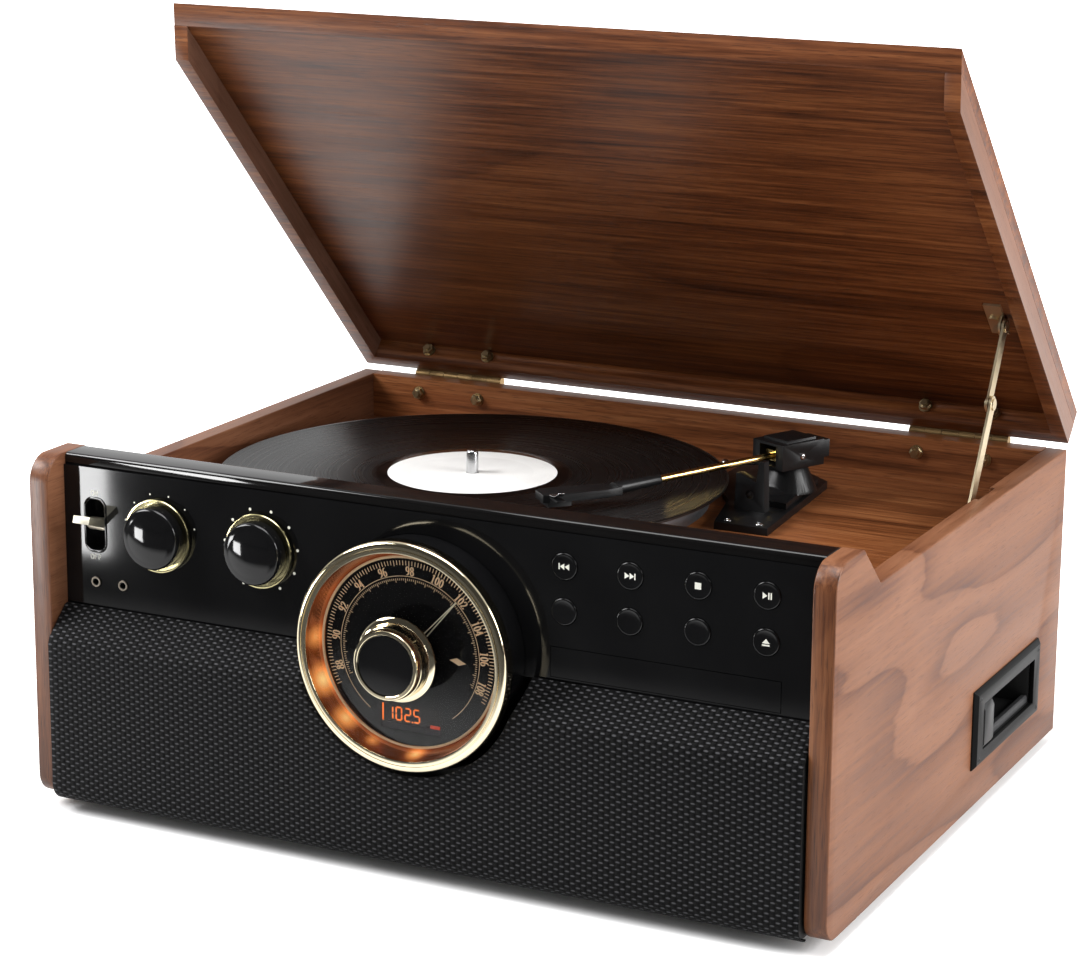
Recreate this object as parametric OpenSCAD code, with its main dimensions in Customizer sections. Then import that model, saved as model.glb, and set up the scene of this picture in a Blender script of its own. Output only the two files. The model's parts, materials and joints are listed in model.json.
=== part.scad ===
// Stereo music centre: a veneered cabinet with a record player under a hinged lid,
// a front panel with a radio dial, two knobs and a disc tray, a speaker grille below
// it and a cassette slot in the right side. Millimetres, +Z up, the front faces -Y.
// Cabinet coordinates: x = 0 midway between the sides, y = 0 at the side panels'
// front edges, z = 0 at their lower edges. place() moves them to the part's origin,
// which is the bottom centre of the whole part standing with its lid open.

/* [Cabinet] */
// Overall width across the side panels
cab_w = 480; // [470:1:520]
// Depth of the side panels
cab_d = 381; // [378:1:420]
// Height of the cabinet's front block, which the closed lid ends flush with
cab_h = 199; // [197:1:215]
// Thickness of the side panels
side_t = 12.5; // [10:0.5:14]
// Thickness of the back panel
back_t = 12; // [9:0.5:14]
// Distance from the deck's top down from the rear panels' edges
deck_drop = 28.5; // [27:0.5:30]
// Height of the feet
foot_h = 7; // [4:1:15]

/* [Lid] */
// Height of the lid from its rim to its top
lid_h = 22.7; // [21:0.1:24]
// Thickness of the lid's top board
lid_top_t = 9; // [7:0.5:10]
// Thickness of the lid's side and rear rims
lid_rim_t = 9; // [7:0.5:11]
// Angle at which the lid stands open
lid_open = 45; // [30:1:60]
// Gap between the closed lid and the panels
lid_gap = 0.8; // [0.5:0.1:2]

/* [Front panel] */
// Distance of the front panel behind the side panels' front edges
fascia_y = 16; // [14:0.5:20]
// Thickness of the front panel
fascia_t = 3; // [2:0.5:4]
// Height of the front panel's lower edge
fascia_z = 112; // [108:1:113]
// Radius of the selector and volume knobs' metal skirts
knob_r = 20.9; // [17:0.1:22]
// Radius of the eight push buttons
button_r = 7.28; // [5:0.01:9]
// Travel of a push button
button_travel = 1.2; // [0.6:0.1:1.4]

/* [Dial] */
// Outer radius of the dial's bezel
dial_r = 63.4; // [58:0.1:66]
// Radius of the dial's printed face
face_r = 51.7; // [48:0.1:52]
// Radius of the tuning knob at its base
tuning_r = 23.3; // [18:0.1:26]
// Distance the tuning knob's front stands ahead of the side panels
tuning_y = 25.7; // [22:0.1:32]

/* [Record player] */
// Radius of the platter
platter_r = 140; // [120:1:146]
// Radius of the record
record_r = 150.5; // [125:0.5:152]
// Height of the record's upper face above the deck
record_lift = 20; // [18:0.5:22]
// Distance from the tonearm's pivot to its stylus
arm_len = 170.6; // [166:0.1:175]

/* [Disc tray and cassette] */
// Width of the disc tray's door
tray_w = 129; // [127:1:134]
// Distance the disc tray slides out
tray_travel = 130; // [100:1:134]
// Length of the cassette bezel
cassette_w = 117.5; // [112:0.5:126]
// Height of the cassette bezel
cassette_h = 46.5; // [42:0.5:50]

/* [Hidden] */
$fn = 64;
fine = 128;
half_w = cab_w / 2;
in_x = half_w - side_t;
back_y = cab_d - back_t;
rear_h = cab_h - lid_h - lid_gap;
deck_t = 12;
deck_z = rear_h - deck_drop;
deck_under = deck_z - deck_t;
bottom_t = 9;
bottom_z = 3;
edge_gap = 0.3;
block_d = 38;
notch_d = 25.5;
cap_y = fascia_y + 1.5;
cap_t = 3;
cap_z = cab_h - 6.3;
fascia_back = fascia_y + fascia_t;

// Hinges: the pin runs in the seam behind the back panel and the lid's rear rim
pin_out = 3.8;
pin_y = cab_d + pin_out;
pin_z = rear_h - 0.2;
pin_r = 1.5;
run_gap = 0.05;
knuckle_r = 3.2;
knuckles = 6;
hinge_w = 63;
hinge_x = half_w - 68.5;
knuckle_w = hinge_w / knuckles;
leaf_t = 1.2;
leaf_h = 17;
bolt_x = 21.5;
bolt_r = 1.9;
bolt_down = 9;
nut_r = 3.6;
washer_r = 4.2;
bolt_up = 10.2;

// Lid, closed: its rim starts lid_z up and its front cut runs beside the notch
lid_z = rear_h + lid_gap;
cut_gap = 1;
lid_front = block_d + cut_gap;
lid_cut = lid_front + notch_d * lid_h / (lid_h + lid_gap);
lid_under = lid_z + lid_h - lid_top_t;

// Lid stay: the lower pivot on the side panel, the upper one hung from the lid.
// The upper one is set out from the hinge pin with the lid closed, then turned open.
stay_x = in_x - 6.5;
stay_low = [cab_d - 131, rear_h - 20.5];
stay_hang = [-111.5, 9];
stay_high = [pin_y + stay_hang[0] * cos(lid_open) + stay_hang[1] * sin(lid_open),
    pin_z - stay_hang[0] * sin(lid_open) + stay_hang[1] * cos(lid_open)];
stay_run = stay_high - stay_low;
stay_angle = atan2(stay_run[1], stay_run[0]);
stay_upper = 47;
stay_lower = norm(stay_run) - stay_upper;
stay_wide = 8;
stay_t = 1.4;
stay_air = 0.3;

// Dial
dial_x = 1;
dial_z = cap_z - dial_r - 9;
drum_r = dial_r - 2.6;
glass_r = dial_r - 6;
glass_y = fascia_y - 27;
face_y = fascia_y - 14.8;
shaft_r = 3;
knob_shaft_r = 3;

// Controls on the front panel
selector_x = -in_x + 63.3;
volume_x = selector_x + 65.3;
knob_z = cap_z - 33.1;
skirt_y = fascia_y - 3.2;
knob_front = fascia_y - 14.5;
button_x = [for (inward = [143.1, 105.7, 67.8, 30.2]) in_x - inward];
button_z = [cap_z - 17.7, cap_z - 42.1];
button_gap = 0.25;
button_proud = 0.9;
board_y = fascia_back + 8;
power_x = -in_x + 20.5;
power_z = cap_z - 32.7;
lever_y = fascia_y + 3.5;
jack_x = [-in_x + 20, -in_x + 38];
jack_z = fascia_z + 15;
jack_bore_r = 1.75;
jack_depth = 14;

// Disc tray
tray_x = in_x - 86.2;
door_z = fascia_z + 2.5;
door_h = 16.2;
tray_body_w = tray_w - 5;
tray_d = tray_travel + 22;
tray_z = door_z + 1.6;
tray_t = 8;
disc_r = 60.5;

// Record player
disc_x = -in_x + 164;
disc_y = 196.2;
record_t = 2;
mat_t = 1.8;
record_z = deck_z + record_lift;
platter_top = record_z - record_t - mat_t;
belt_r = 95;
pulley_r = 6;
motor_turn = 215;
motor_gap = 112;

// Tonearm: the pivot column and the arm as it lies on the record
arm_x = disc_x + 160.5;
arm_y = disc_y + 95.8;
arm_turn = 25.7;
tube_z = record_z + 9.6;
tube_r = 2.1;
head_turn = 17;
stylus_x = 40;
tube_len = sqrt(pow(arm_len, 2) - pow(stylus_x * sin(head_turn), 2)) - stylus_x * cos(head_turn);
rest_turn = 5;
rest_at = 45;

// Cassette
bezel_y = 221;
slot_y = bezel_y + cassette_w / 2;
slot_z = 46.8;
slot_w = 92;
slot_h = 27;
slot_deep = 104;

// The part's depth runs from the tuning knob to the open lid's rear top edge
rear_reach = pin_y + (lid_z + lid_h - pin_z) * sin(lid_open) - pin_out * cos(lid_open);
mid_y = (rear_reach - tuning_y) / 2;

// Moves cabinet coordinates to the part's origin
module place() {
    translate([0, -mid_y, foot_h])
        children();
}

// Tips what belongs to the lid from its closed place to its open one
module open_lid() {
    place()
        translate([0, pin_y, pin_z])
            rotate([-lid_open, 0, 0])
                translate([0, -pin_y, -pin_z])
                    children();
}

// Points of an arc about a centre, from one angle to another
function arc(cx, cy, r, a0, a1, n) =
    [for (i = [0 : n]) [cx + r * cos(a0 + (a1 - a0) * i / n), cy + r * sin(a0 + (a1 - a0) * i / n)]];

// Extrudes a side profile drawn in (y, z) along X, centred
module across(width) {
    rotate([90, 0, 90])
        linear_extrude(width, center = true)
            children();
}

// A rod along Y from y0 to y1 about (x, z)
module rod_y(x, z, r, y0, y1) {
    translate([x, y0, z])
        rotate([-90, 0, 0])
            cylinder(r = r, h = y1 - y0);
}

// A turned form about the axis (x, z), its profile drawn as (radius, y)
module turned_y(x, z) {
    translate([x, 0, z])
        rotate([-90, 0, 0])
            rotate_extrude($fn = fine)
                children();
}

// A flat outline with rounded corners
module rounded(w, h, r) {
    for (side = [-1, 1])
        for (end = [-1, 1])
            translate([side * (w / 2 - r), end * (h / 2 - r)])
                circle(r);
    square([w - 2 * r, h], center = true);
    square([w, h - 2 * r], center = true);
}

// ---- Cabinet panels ----

veneer = [0.42, 0.2, 0.1];
gloss_black = [0.05, 0.05, 0.05];
gold = [0.8, 0.68, 0.42];

// Side outline of a cabinet side: rounded at the front, notched for the lid
top_round = 15;
foot_round = 13;
module side_outline() {
    polygon(concat(
        [[cab_d, 0], [cab_d, rear_h], [block_d + notch_d, rear_h], [block_d, cab_h]],
        arc(top_round, cab_h - top_round, top_round, 90, 180, 10),
        arc(foot_round, foot_round, foot_round, 180, 270, 10)));
}

module side_panel_left() {
    color(veneer)
        place()
            translate([-half_w + side_t / 2, 0, 0])
                across(side_t)
                    side_outline();
}

// The right side has the cassette's window and a shallow recess that clears the stay
recess_y = cab_d - 136;
recess_w = 28;
recess_h = 24;
recess_deep = 3;
slot_edge = 3.6;
module side_panel_right() {
    color(veneer)
        place()
            difference() {
                translate([half_w - side_t / 2, 0, 0])
                    across(side_t)
                        side_outline();
                translate([in_x - 1, recess_y, rear_h - recess_h])
                    cube([recess_deep + 1, recess_w, recess_h + 1]);
                translate([in_x - 1, slot_y - slot_w / 2 - slot_edge, slot_z - slot_h / 2 - slot_edge])
                    cube([side_t + 2, slot_w + 2 * slot_edge, slot_h + 2 * slot_edge]);
            }
}

// The back panel has bolt holes for the hinges, a window for the sockets and two vents
bolt_hole = bolt_r + 0.1;
socket_x = -110;
socket_z = 58;
socket_w = 96;
socket_h = 42;
vent_count = 9;
vent_pitch = 9;
vent_x = 110;
module back_panel() {
    color(veneer)
        place()
            difference() {
                translate([-in_x, back_y, bottom_z])
                    cube([2 * in_x, back_t, rear_h - bottom_z]);
                each_bolt()
                    rod_y(0, pin_z - bolt_down, bolt_hole, back_y - 1, cab_d + 1);
                translate([socket_x - socket_w / 2, back_y - 1, socket_z - socket_h / 2])
                    cube([socket_w, back_t + 2, socket_h]);
                for (i = [0 : vent_count - 1])
                    translate([vent_x + (i - (vent_count - 1) / 2) * vent_pitch, back_y - 1, socket_z])
                        rotate([-90, 0, 0])
                            linear_extrude(back_t + 2)
                                rounded(3.4, 40, 1.6);
            }
}

// Both bolts of both hinges, as offsets along X
module each_bolt() {
    for (side = [-1, 1])
        for (end = [-1, 1])
            translate([side * hinge_x + end * bolt_x, 0, 0])
                children();
}

// The bottom board, with vent slots under the electronics
baffle_y = fascia_y - 5;
baffle_t = 4;
board_front = baffle_y + baffle_t + 2;
foot_x = half_w - 35;
foot_front = 42;
foot_back = cab_d - 34;
screw_r = 2;
module bottom_panel() {
    color([0.3, 0.16, 0.09])
        place()
            difference() {
                translate([-in_x, board_front, bottom_z])
                    cube([2 * in_x, back_y - board_front, bottom_t]);
                for (i = [-4 : 4])
                    translate([i * 12, 250, bottom_z - 1])
                        linear_extrude(bottom_t + 2)
                            rounded(4, 60, 1.9);
                each_foot()
                    translate([0, 0, bottom_z - 1])
                        cylinder(r = screw_r, h = bottom_t + 2);
            }
}

module each_foot() {
    for (side = [-1, 1])
        for (y = [foot_front, foot_back])
            translate([side * foot_x, y, 0])
                children();
}

// Rubber feet, each with its screw boss set in the bottom board
foot_r = 13;
module feet() {
    color([0.08, 0.08, 0.08])
        place()
            each_foot()
                rotate_extrude($fn = fine)
                    polygon(concat(
                        [[0, -foot_h + 1.2], [3.2, -foot_h + 1.2], [3.2, -foot_h]],
                        [[foot_r - 2, -foot_h], [foot_r - 1.2, -foot_h + 0.5], [foot_r, bottom_z - 0.02]],
                        [[screw_r - 0.05, bottom_z - 0.02], [screw_r - 0.05, bottom_z + 6], [0, bottom_z + 6]]));
}

// The deck board under the record player
bush_r = 10;
pulley_hole = 9;
column_hole = 9;
motor_x = disc_x + motor_gap * cos(motor_turn);
motor_y = disc_y + motor_gap * sin(motor_turn);
module deck_panel() {
    color(veneer)
        place()
            difference() {
                translate([-in_x, block_d - cap_t, deck_under])
                    cube([2 * in_x, back_y - block_d + cap_t, deck_t]);
                translate([disc_x, disc_y, deck_under - 1])
                    cylinder(r = bush_r + 0.1, h = deck_t + 2);
                translate([motor_x, motor_y, deck_under - 1])
                    cylinder(r = pulley_hole, h = deck_t + 2);
                translate([arm_x, arm_y, deck_under - 1])
                    cylinder(r = column_hole, h = deck_t + 2);
            }
}

// ---- Front panel ----

tray_gap = 0.35;
power_w = 15;
power_h = 32;
nut_out = 3.1;
module fascia_plate() {
    color(gloss_black)
        place()
            difference() {
                translate([-in_x, fascia_y, fascia_z])
                    cube([2 * in_x, fascia_t, cap_z - fascia_z]);
                rod_y(dial_x, dial_z, drum_r + edge_gap, fascia_y - 1, fascia_back + 1);
                for (x = [selector_x, volume_x])
                    rod_y(x, knob_z, knob_shaft_r + 1, fascia_y - 1, fascia_back + 1);
                for (x = button_x, z = button_z)
                    rod_y(x, z, button_r + button_gap, fascia_y - 1, fascia_back + 1);
                for (x = jack_x)
                    rod_y(x, jack_z, nut_out + 0.1, fascia_y - 1, fascia_back + 1);
                translate([tray_x - tray_w / 2 - tray_gap, fascia_y - 1, door_z - tray_gap])
                    cube([tray_w + 2 * tray_gap, fascia_t + 2, door_h + 2 * tray_gap]);
                translate([power_x, fascia_back + 1, power_z])
                    rotate([90, 0, 0])
                        linear_extrude(fascia_t + 2)
                            rounded(power_w + 0.2, power_h + 0.2, 6);
            }
}

// The cap over the front block: a lip ahead, a wall down to the deck behind
lip_r = 2.4;
module fascia_top_cap() {
    color(gloss_black)
        place()
            across(2 * in_x)
                polygon(concat(
                    [[cap_y, cap_z + 0.1]],
                    arc(cap_y + lip_r, cab_h - lip_r, lip_r, 180, 90, 5),
                    arc(block_d - lip_r, cab_h - lip_r, lip_r, 90, 0, 5),
                    [[block_d, deck_z], [block_d - cap_t, deck_z]],
                    [[block_d - cap_t, cab_h - cap_t - 1.5], [block_d - cap_t - 1.5, cab_h - cap_t]],
                    [[cap_y + cap_t, cab_h - cap_t], [cap_y + cap_t, cap_z + 0.1]]));
}

// Side line of the grille, from its top edge forward, down and back under:
// three arcs joined by straight runs, all drawn in by the same inset
lean = 133.4;
grille_front = fascia_y - 20.5;
bend_r = 8;
bend_z = 92;
brow_r = 5;
brow_z = fascia_z - brow_r;
heel_r = 10.5;
brow_y = grille_front + bend_r + ((brow_z - bend_z) * sin(lean) - bend_r + brow_r) / -cos(lean);
function grille_line(inset) = concat(
    arc(brow_y, brow_z, brow_r - inset, 90, lean, 4),
    arc(grille_front + bend_r, bend_z, bend_r - inset, lean, 180, 5),
    arc(grille_front + heel_r, heel_r, heel_r - inset, 180, 270, 8));
function reversed(line) = [for (i = [len(line) - 1 : -1 : 0]) line[i]];

// A sheet that follows the grille's line, with the round bite for the dial
bite_r = dial_r + 3.6;
module grille_sheet(inset, thick, width) {
    difference() {
        across(width)
            polygon(concat(grille_line(inset), reversed(grille_line(inset + thick))));
        rod_y(dial_x, dial_z, bite_r + inset, -20, 30);
    }
}

// Woven cloth stretched over the frame's front
cloth_t = 0.8;
grille_gap = 0.6;
grille_w = 2 * (in_x - grille_gap);
module grille_cloth() {
    color([0.13, 0.13, 0.14])
        place()
            grille_sheet(0, cloth_t, grille_w);
}

// Moulded frame: a slotted shell behind the cloth, end walls and the speaker baffle
frame_t = 2.8;
frame_inset = cloth_t + 0.02;
slot_pitch = 15;
slot_bar = 5;
speaker_x = in_x - 77.5;
speaker_z = 54;
speaker_hole = 34;
module grille_frame() {
    color([0.1, 0.1, 0.1])
        place() {
            difference() {
                grille_sheet(frame_inset, frame_t, grille_w - 2 * cloth_t);
                for (side = [-1, 1])
                    for (i = [0 : 4])
                        translate([side * (speaker_x + (i - 2) * slot_pitch) - slot_pitch / 2 + slot_bar / 2,
                            grille_front - 2, speaker_z - 26])
                            cube([slot_pitch - slot_bar, 10, 52]);
            }
            difference() {
                translate([-grille_w / 2 + cloth_t, baffle_y, frame_inset + 0.5])
                    cube([grille_w - 2 * cloth_t, baffle_t, brow_z - frame_inset]);
                rod_y(dial_x, dial_z, bite_r + frame_inset, baffle_y - 1, baffle_y + baffle_t + 1);
                for (side = [-1, 1])
                    rod_y(side * speaker_x, speaker_z, speaker_hole, baffle_y - 1, baffle_y + baffle_t + 1);
            }
            for (side = [-1, 1])
                translate([side * (grille_w / 2 - cloth_t - frame_t / 2), 0, 0])
                    across(frame_t)
                        polygon(concat(grille_line(frame_inset), [[baffle_y + 1, frame_inset], [baffle_y + 1, brow_z]]));
        }
}

// Two cone drivers on the baffle: flange, cone, dust cap, basket and magnet
module speaker_drivers() {
    seat = baffle_y + baffle_t + 0.05;
    color([0.2, 0.2, 0.2])
        place()
            for (side = [-1, 1])
                turned_y(side * speaker_x, speaker_z)
                    polygon(concat(
                        [[0, seat + 2]],
                        arc(0, seat + 12, 10, -80, -40, 5),
                        [[9, seat + 8], [26, seat + 1], [29, seat - 1.5], [32, seat - 1.5], [33, seat]],
                        [[39, seat], [39, seat + 2], [36, seat + 2.5], [24, seat + 20], [26, seat + 20]],
                        [[26, seat + 33], [0, seat + 33]]));
}

// ---- Tuning dial ----

// Black drum through the front panel: tube, back wall and the seat of the face
drum_front = fascia_y - 20.4;
drum_back = fascia_back + 5;
seat_y = face_y + 1.7;
seat_r = face_r - 2.2;
module dial_drum() {
    color(gloss_black)
        place()
            turned_y(dial_x, dial_z)
                polygon([[drum_r - 2.4, drum_front], [drum_r, drum_front], [drum_r, drum_back],
                    [shaft_r + 3, drum_back], [shaft_r + 3, drum_back - 3], [seat_r, drum_back - 3],
                    [seat_r, seat_y], [drum_r - 2.4, seat_y]]);
}

// Bright bezel over the drum's front edge, with a lip that keeps the glass in
module dial_bezel() {
    color(gold)
        place()
            turned_y(dial_x, dial_z)
                polygon(concat(
                    [[drum_r + 0.05, drum_front + 3], [drum_r + 1.6, drum_front + 3]],
                    [[dial_r, drum_front - 0.4], [dial_r - 0.2, drum_front - 3.4]],
                    arc(dial_r - 2.8, drum_front - 4, 2.6, 0, -100, 8),
                    [[glass_r - 0.6, glass_y - 0.1], [glass_r - 0.6, glass_y + 0.3], [glass_r + 0.5, glass_y + 0.3]],
                    [[glass_r + 0.5, glass_y + 2.4], [drum_r - 2.4, drum_front - 0.05],
                    [drum_r + 0.05, drum_front - 0.05]]));
}

// Copper funnel that reflects the lamps, from the glass down to the face
funnel_t = 1.1;
funnel_front = glass_y + 2.3;
module dial_light_ring() {
    color([0.85, 0.5, 0.25])
        place()
            turned_y(dial_x, dial_z)
                polygon([[glass_r - funnel_t + 0.1, funnel_front], [glass_r + 0.1, funnel_front],
                    [face_r + 2.2, face_y + 0.2], [drum_r - 2.6, face_y + 0.2], [drum_r - 2.6, seat_y - 0.05],
                    [face_r + 0.2, seat_y - 0.05], [face_r + 0.2, face_y - 0.4]]);
}

// Printed face with the display's window and the shaft's hole
window_x = 0.7;
window_z = 14.5 - face_r;
window_w = 36.6;
window_h = 14.6;
face_t = 1.5;
module dial_face() {
    color(gloss_black)
        place()
            difference() {
                rod_y(dial_x, dial_z, face_r, face_y, face_y + face_t, $fn = fine);
                rod_y(dial_x, dial_z, shaft_r + 3, face_y - 1, face_y + face_t + 1);
                translate([dial_x + window_x - window_w / 2, face_y - 1, dial_z + window_z - window_h / 2])
                    cube([window_w, face_t + 2, window_h]);
            }
}

// Segment display in the face's window, its case reaching back to the drum's wall
module display_window() {
    color([0.1, 0.06, 0.03])
        place()
            translate([dial_x + window_x - window_w / 2 + 0.15, face_y + 0.4, dial_z + window_z - window_h / 2 + 0.15])
                cube([window_w - 0.3, drum_back - 3.7 - face_y, window_h - 0.3]);
}

glass_t = 1.5;
module dial_glass() {
    color([0.8, 0.85, 0.85, 0.3])
        place()
            turned_y(dial_x, dial_z)
                polygon([[shaft_r + 0.3, glass_y + 0.4], [glass_r, glass_y + 0.4],
                    [glass_r, glass_y + 0.4 + glass_t], [shaft_r + 0.3, glass_y + 0.4 + glass_t]]);
}

// Pointer: a hub on the tuning shaft and a double needle with a joined tip
needle_turn = 48;
needle_r = face_r - 8.9;
needle_y = face_y - 1.6;
needle_t = 0.6;
needle_gap = 1.1;
hub_r = 6;
module dial_pointer() {
    color(gold)
        place() {
            turned_y(dial_x, dial_z)
                polygon([[shaft_r + 0.02, needle_y - 1.4], [hub_r, needle_y - 1.4], [hub_r, needle_y + needle_t],
                    [shaft_r + 0.02, needle_y + needle_t]]);
            translate([dial_x, needle_y + needle_t, dial_z])
                rotate([90, -needle_turn, 0])
                    linear_extrude(needle_t)
                        difference() {
                            translate([hub_r - 1, -needle_gap])
                                square([needle_r - hub_r + 1, 2 * needle_gap]);
                            translate([hub_r + 1, -needle_gap / 2])
                                square([needle_r - hub_r - 3, needle_gap]);
                        }
        }
}

// Tuning knob, stepped and hollowed ahead, with the shaft that turns the pointer
tuning_back = glass_y - 1.4;
tuning_front = -tuning_y;
tuning_front_r = tuning_r - 4.5;
tuning_shaft_end = drum_back + 10;
module tuning_knob() {
    color(gold)
        place()
            turned_y(dial_x, dial_z)
                polygon([[0, tuning_front + 0.8], [tuning_front_r - 1.8, tuning_front + 0.8],
                    [tuning_front_r - 1.5, tuning_front], [tuning_front_r - 0.5, tuning_front],
                    [tuning_front_r + 0.3, tuning_front + 0.8], [tuning_front_r + 1.2, tuning_front + 5],
                    [tuning_front_r + 1.4, tuning_back - 3], [tuning_r - 1.4, tuning_back - 1.9],
                    [tuning_r, tuning_back - 0.8], [tuning_r, tuning_back], [shaft_r, tuning_back],
                    [shaft_r, tuning_shaft_end], [0, tuning_shaft_end]]);
}

// ---- Knobs, switch and buttons ----

// Knob: a bright skirt, a domed black cap and the shaft that turns the control
cap_r = knob_r - 3.3;
knob_back = fascia_y - 0.8;
knob_shaft_end = fascia_back + 8;
module round_knob(x) {
    turned_y(x, knob_z)
        polygon(concat(
            [[0, knob_front]],
            arc(0, knob_front + 42, 42, -83, -70, 4),
            arc(cap_r - 2.6, knob_front + 5, 2.6, -60, 0, 4),
            [[cap_r + 0.2, skirt_y - 0.3], [knob_r - 0.6, skirt_y - 0.3], [knob_r, skirt_y + 0.3]],
            [[knob_r - 0.4, knob_back], [knob_shaft_r, knob_back], [knob_shaft_r, knob_shaft_end]],
            [[0, knob_shaft_end]]));
}

module selector_knob() {
    color(gloss_black)
        place()
            round_knob(selector_x);
}

module volume_knob() {
    color(gloss_black)
        place()
            round_knob(volume_x);
}

// Recessed cup of the power switch, with bearings for the lever's pin
power_wall = 1.3;
power_deep = 11;
pin_lever_r = 1.2;
module power_switch_plate() {
    color([0.06, 0.06, 0.06])
        place()
            difference() {
                translate([power_x, fascia_y - 0.3 + power_deep, power_z])
                    rotate([90, 0, 0])
                        linear_extrude(power_deep)
                            rounded(power_w, power_h, 6);
                translate([power_x, fascia_y - 0.3 + power_deep - power_wall, power_z])
                    rotate([90, 0, 0])
                        linear_extrude(power_deep)
                            rounded(power_w - 2 * power_wall, power_h - 2 * power_wall, 4.7);
                translate([power_x - power_w, lever_y, power_z])
                    rotate([0, 90, 0])
                        cylinder(r = pin_lever_r + run_gap, h = 2 * power_w);
            }
}

// Flat lever on its own pin, standing up when on
lever_w = 11;
lever_reach = 18.5;
lever_up = 19.4;
lever_t = 4.2;
hub_lever_r = 3.6;
module power_lever() {
    pin_half = power_w / 2 - 0.2;
    color(gold)
        place()
            translate([power_x, lever_y, power_z]) {
                rotate([0, 90, 0])
                    rotate_extrude()
                        polygon([[0, -pin_half], [pin_lever_r, -pin_half], [pin_lever_r, -lever_w / 2],
                            [hub_lever_r, -lever_w / 2], [hub_lever_r, lever_w / 2], [pin_lever_r, lever_w / 2],
                            [pin_lever_r, pin_half], [0, pin_half]]);
                rotate([-lever_up, 0, 0])
                    translate([-lever_w / 2 + 0.1, -lever_reach, -lever_t / 2])
                        cube([lever_w - 0.2, lever_reach - 1.5, lever_t]);
            }
}

// Two 3.5 mm sockets: threaded nose through the panel, body behind it
module jack_sockets() {
    color([0.12, 0.12, 0.12])
        place()
            for (x = jack_x)
                difference() {
                    union() {
                        rod_y(x, jack_z, nut_out, fascia_y - 0.5, fascia_back + 1);
                        translate([x - 5, fascia_back + edge_gap, jack_z - 5])
                            cube([10, 13, 10]);
                    }
                    rod_y(x, jack_z, jack_bore_r, fascia_y - 1, fascia_y - 0.5 + jack_depth);
                }
}

// Push button: a crowned cap, the flange that keeps it in and its plunger
flange_r = button_r + 1.52;
plunger_end = board_y - 2.1 - button_travel - 0.3;
module push_button(column, row) {
    color(gloss_black)
        place()
            turned_y(button_x[column], button_z[row])
                polygon([[0, fascia_y - button_proud], [button_r - 0.8, fascia_y - button_proud],
                    [button_r, fascia_y - button_proud + 0.7], [button_r, fascia_back + edge_gap],
                    [flange_r, fascia_back + edge_gap], [flange_r, fascia_back + 1.4],
                    [2, fascia_back + 1.4], [2, plunger_end], [0, plunger_end]]);
}

module skip_back_button() {
    push_button(0, 0);
}

module skip_forward_button() {
    push_button(1, 0);
}

module stop_button() {
    push_button(2, 0);
}

module play_button() {
    push_button(3, 0);
}

module program_button() {
    push_button(0, 1);
}

module repeat_button() {
    push_button(1, 1);
}

module pairing_button() {
    push_button(2, 1);
}

module tray_button() {
    push_button(3, 1);
}

// ---- Disc drive ----

rail_t = 2;
rail_in = 3;
drive_gap = 1.2;
drive_w = tray_body_w + 2 * (rail_t + drive_gap);
drive_z = tray_z - 5.6;
drive_top = deck_under - edge_gap;
drive_d = tray_d + 6;
// Open-fronted drive case hung under the deck, with rails that carry the tray
module cd_housing() {
    color([0.55, 0.56, 0.58])
        place() {
            difference() {
                translate([tray_x - drive_w / 2, fascia_back + 0.1, drive_z])
                    cube([drive_w, drive_d, drive_top - drive_z]);
                translate([tray_x - drive_w / 2 + rail_t, fascia_back - 1, drive_z + rail_t])
                    cube([drive_w - 2 * rail_t, drive_d, drive_top - drive_z - 2 * rail_t]);
            }
            for (side = [-1, 1])
                translate([tray_x + side * (drive_w / 2 - rail_t - rail_in / 2) - rail_in / 2,
                    fascia_back + 2, drive_z + rail_t - 0.1])
                    cube([rail_in, drive_d - 4, tray_z - drive_z - rail_t - edge_gap + 0.1]);
        }
}

// Tray with its door, a dished disc recess and the pickup's slot
tray_lip = 3.2;
disc_at = fascia_back + disc_r + 5;
module cd_tray() {
    color([0.08, 0.08, 0.08])
        place() {
            translate([tray_x - tray_w / 2, fascia_y, door_z])
                cube([tray_w, fascia_t - 0.1, door_h]);
            difference() {
                translate([tray_x - tray_body_w / 2, fascia_back - 0.2, tray_z])
                    cube([tray_body_w, tray_d, tray_t]);
                translate([tray_x, disc_at, tray_z + tray_lip])
                    cylinder(r = disc_r, h = tray_t, $fn = fine);
                translate([tray_x, disc_at, tray_z + tray_lip - 1.2])
                    cylinder(r = 41, h = tray_t, $fn = fine);
                translate([tray_x - 16, disc_at - 18, tray_z - 1])
                    cube([32, tray_d, tray_t + 2]);
            }
        }
}

// ---- Cassette player ----

bezel_t = 3;
key_w = 16;
key_gap = 0.5;
key_h = slot_h - 2 * key_gap;
key_out = bezel_t + 0.4;
key_in = 13;
case_wall = 2;
bay_y0 = slot_y - slot_w / 2 + key_w + 2 * key_gap + case_wall;
// Chamfered frame on the right side, round the key and the cassette's mouth
module cassette_bezel() {
    color([0.1, 0.1, 0.1])
        place()
            translate([half_w, slot_y, slot_z])
                rotate([90, 0, 90])
                    difference() {
                        hull() {
                            linear_extrude(0.8)
                                square([cassette_w, cassette_h], center = true);
                            linear_extrude(bezel_t)
                                square([cassette_w - 5, cassette_h - 5], center = true);
                        }
                        translate([0, 0, -1])
                            linear_extrude(bezel_t + 2)
                                square([slot_w, slot_h], center = true);
                    }
}

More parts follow.
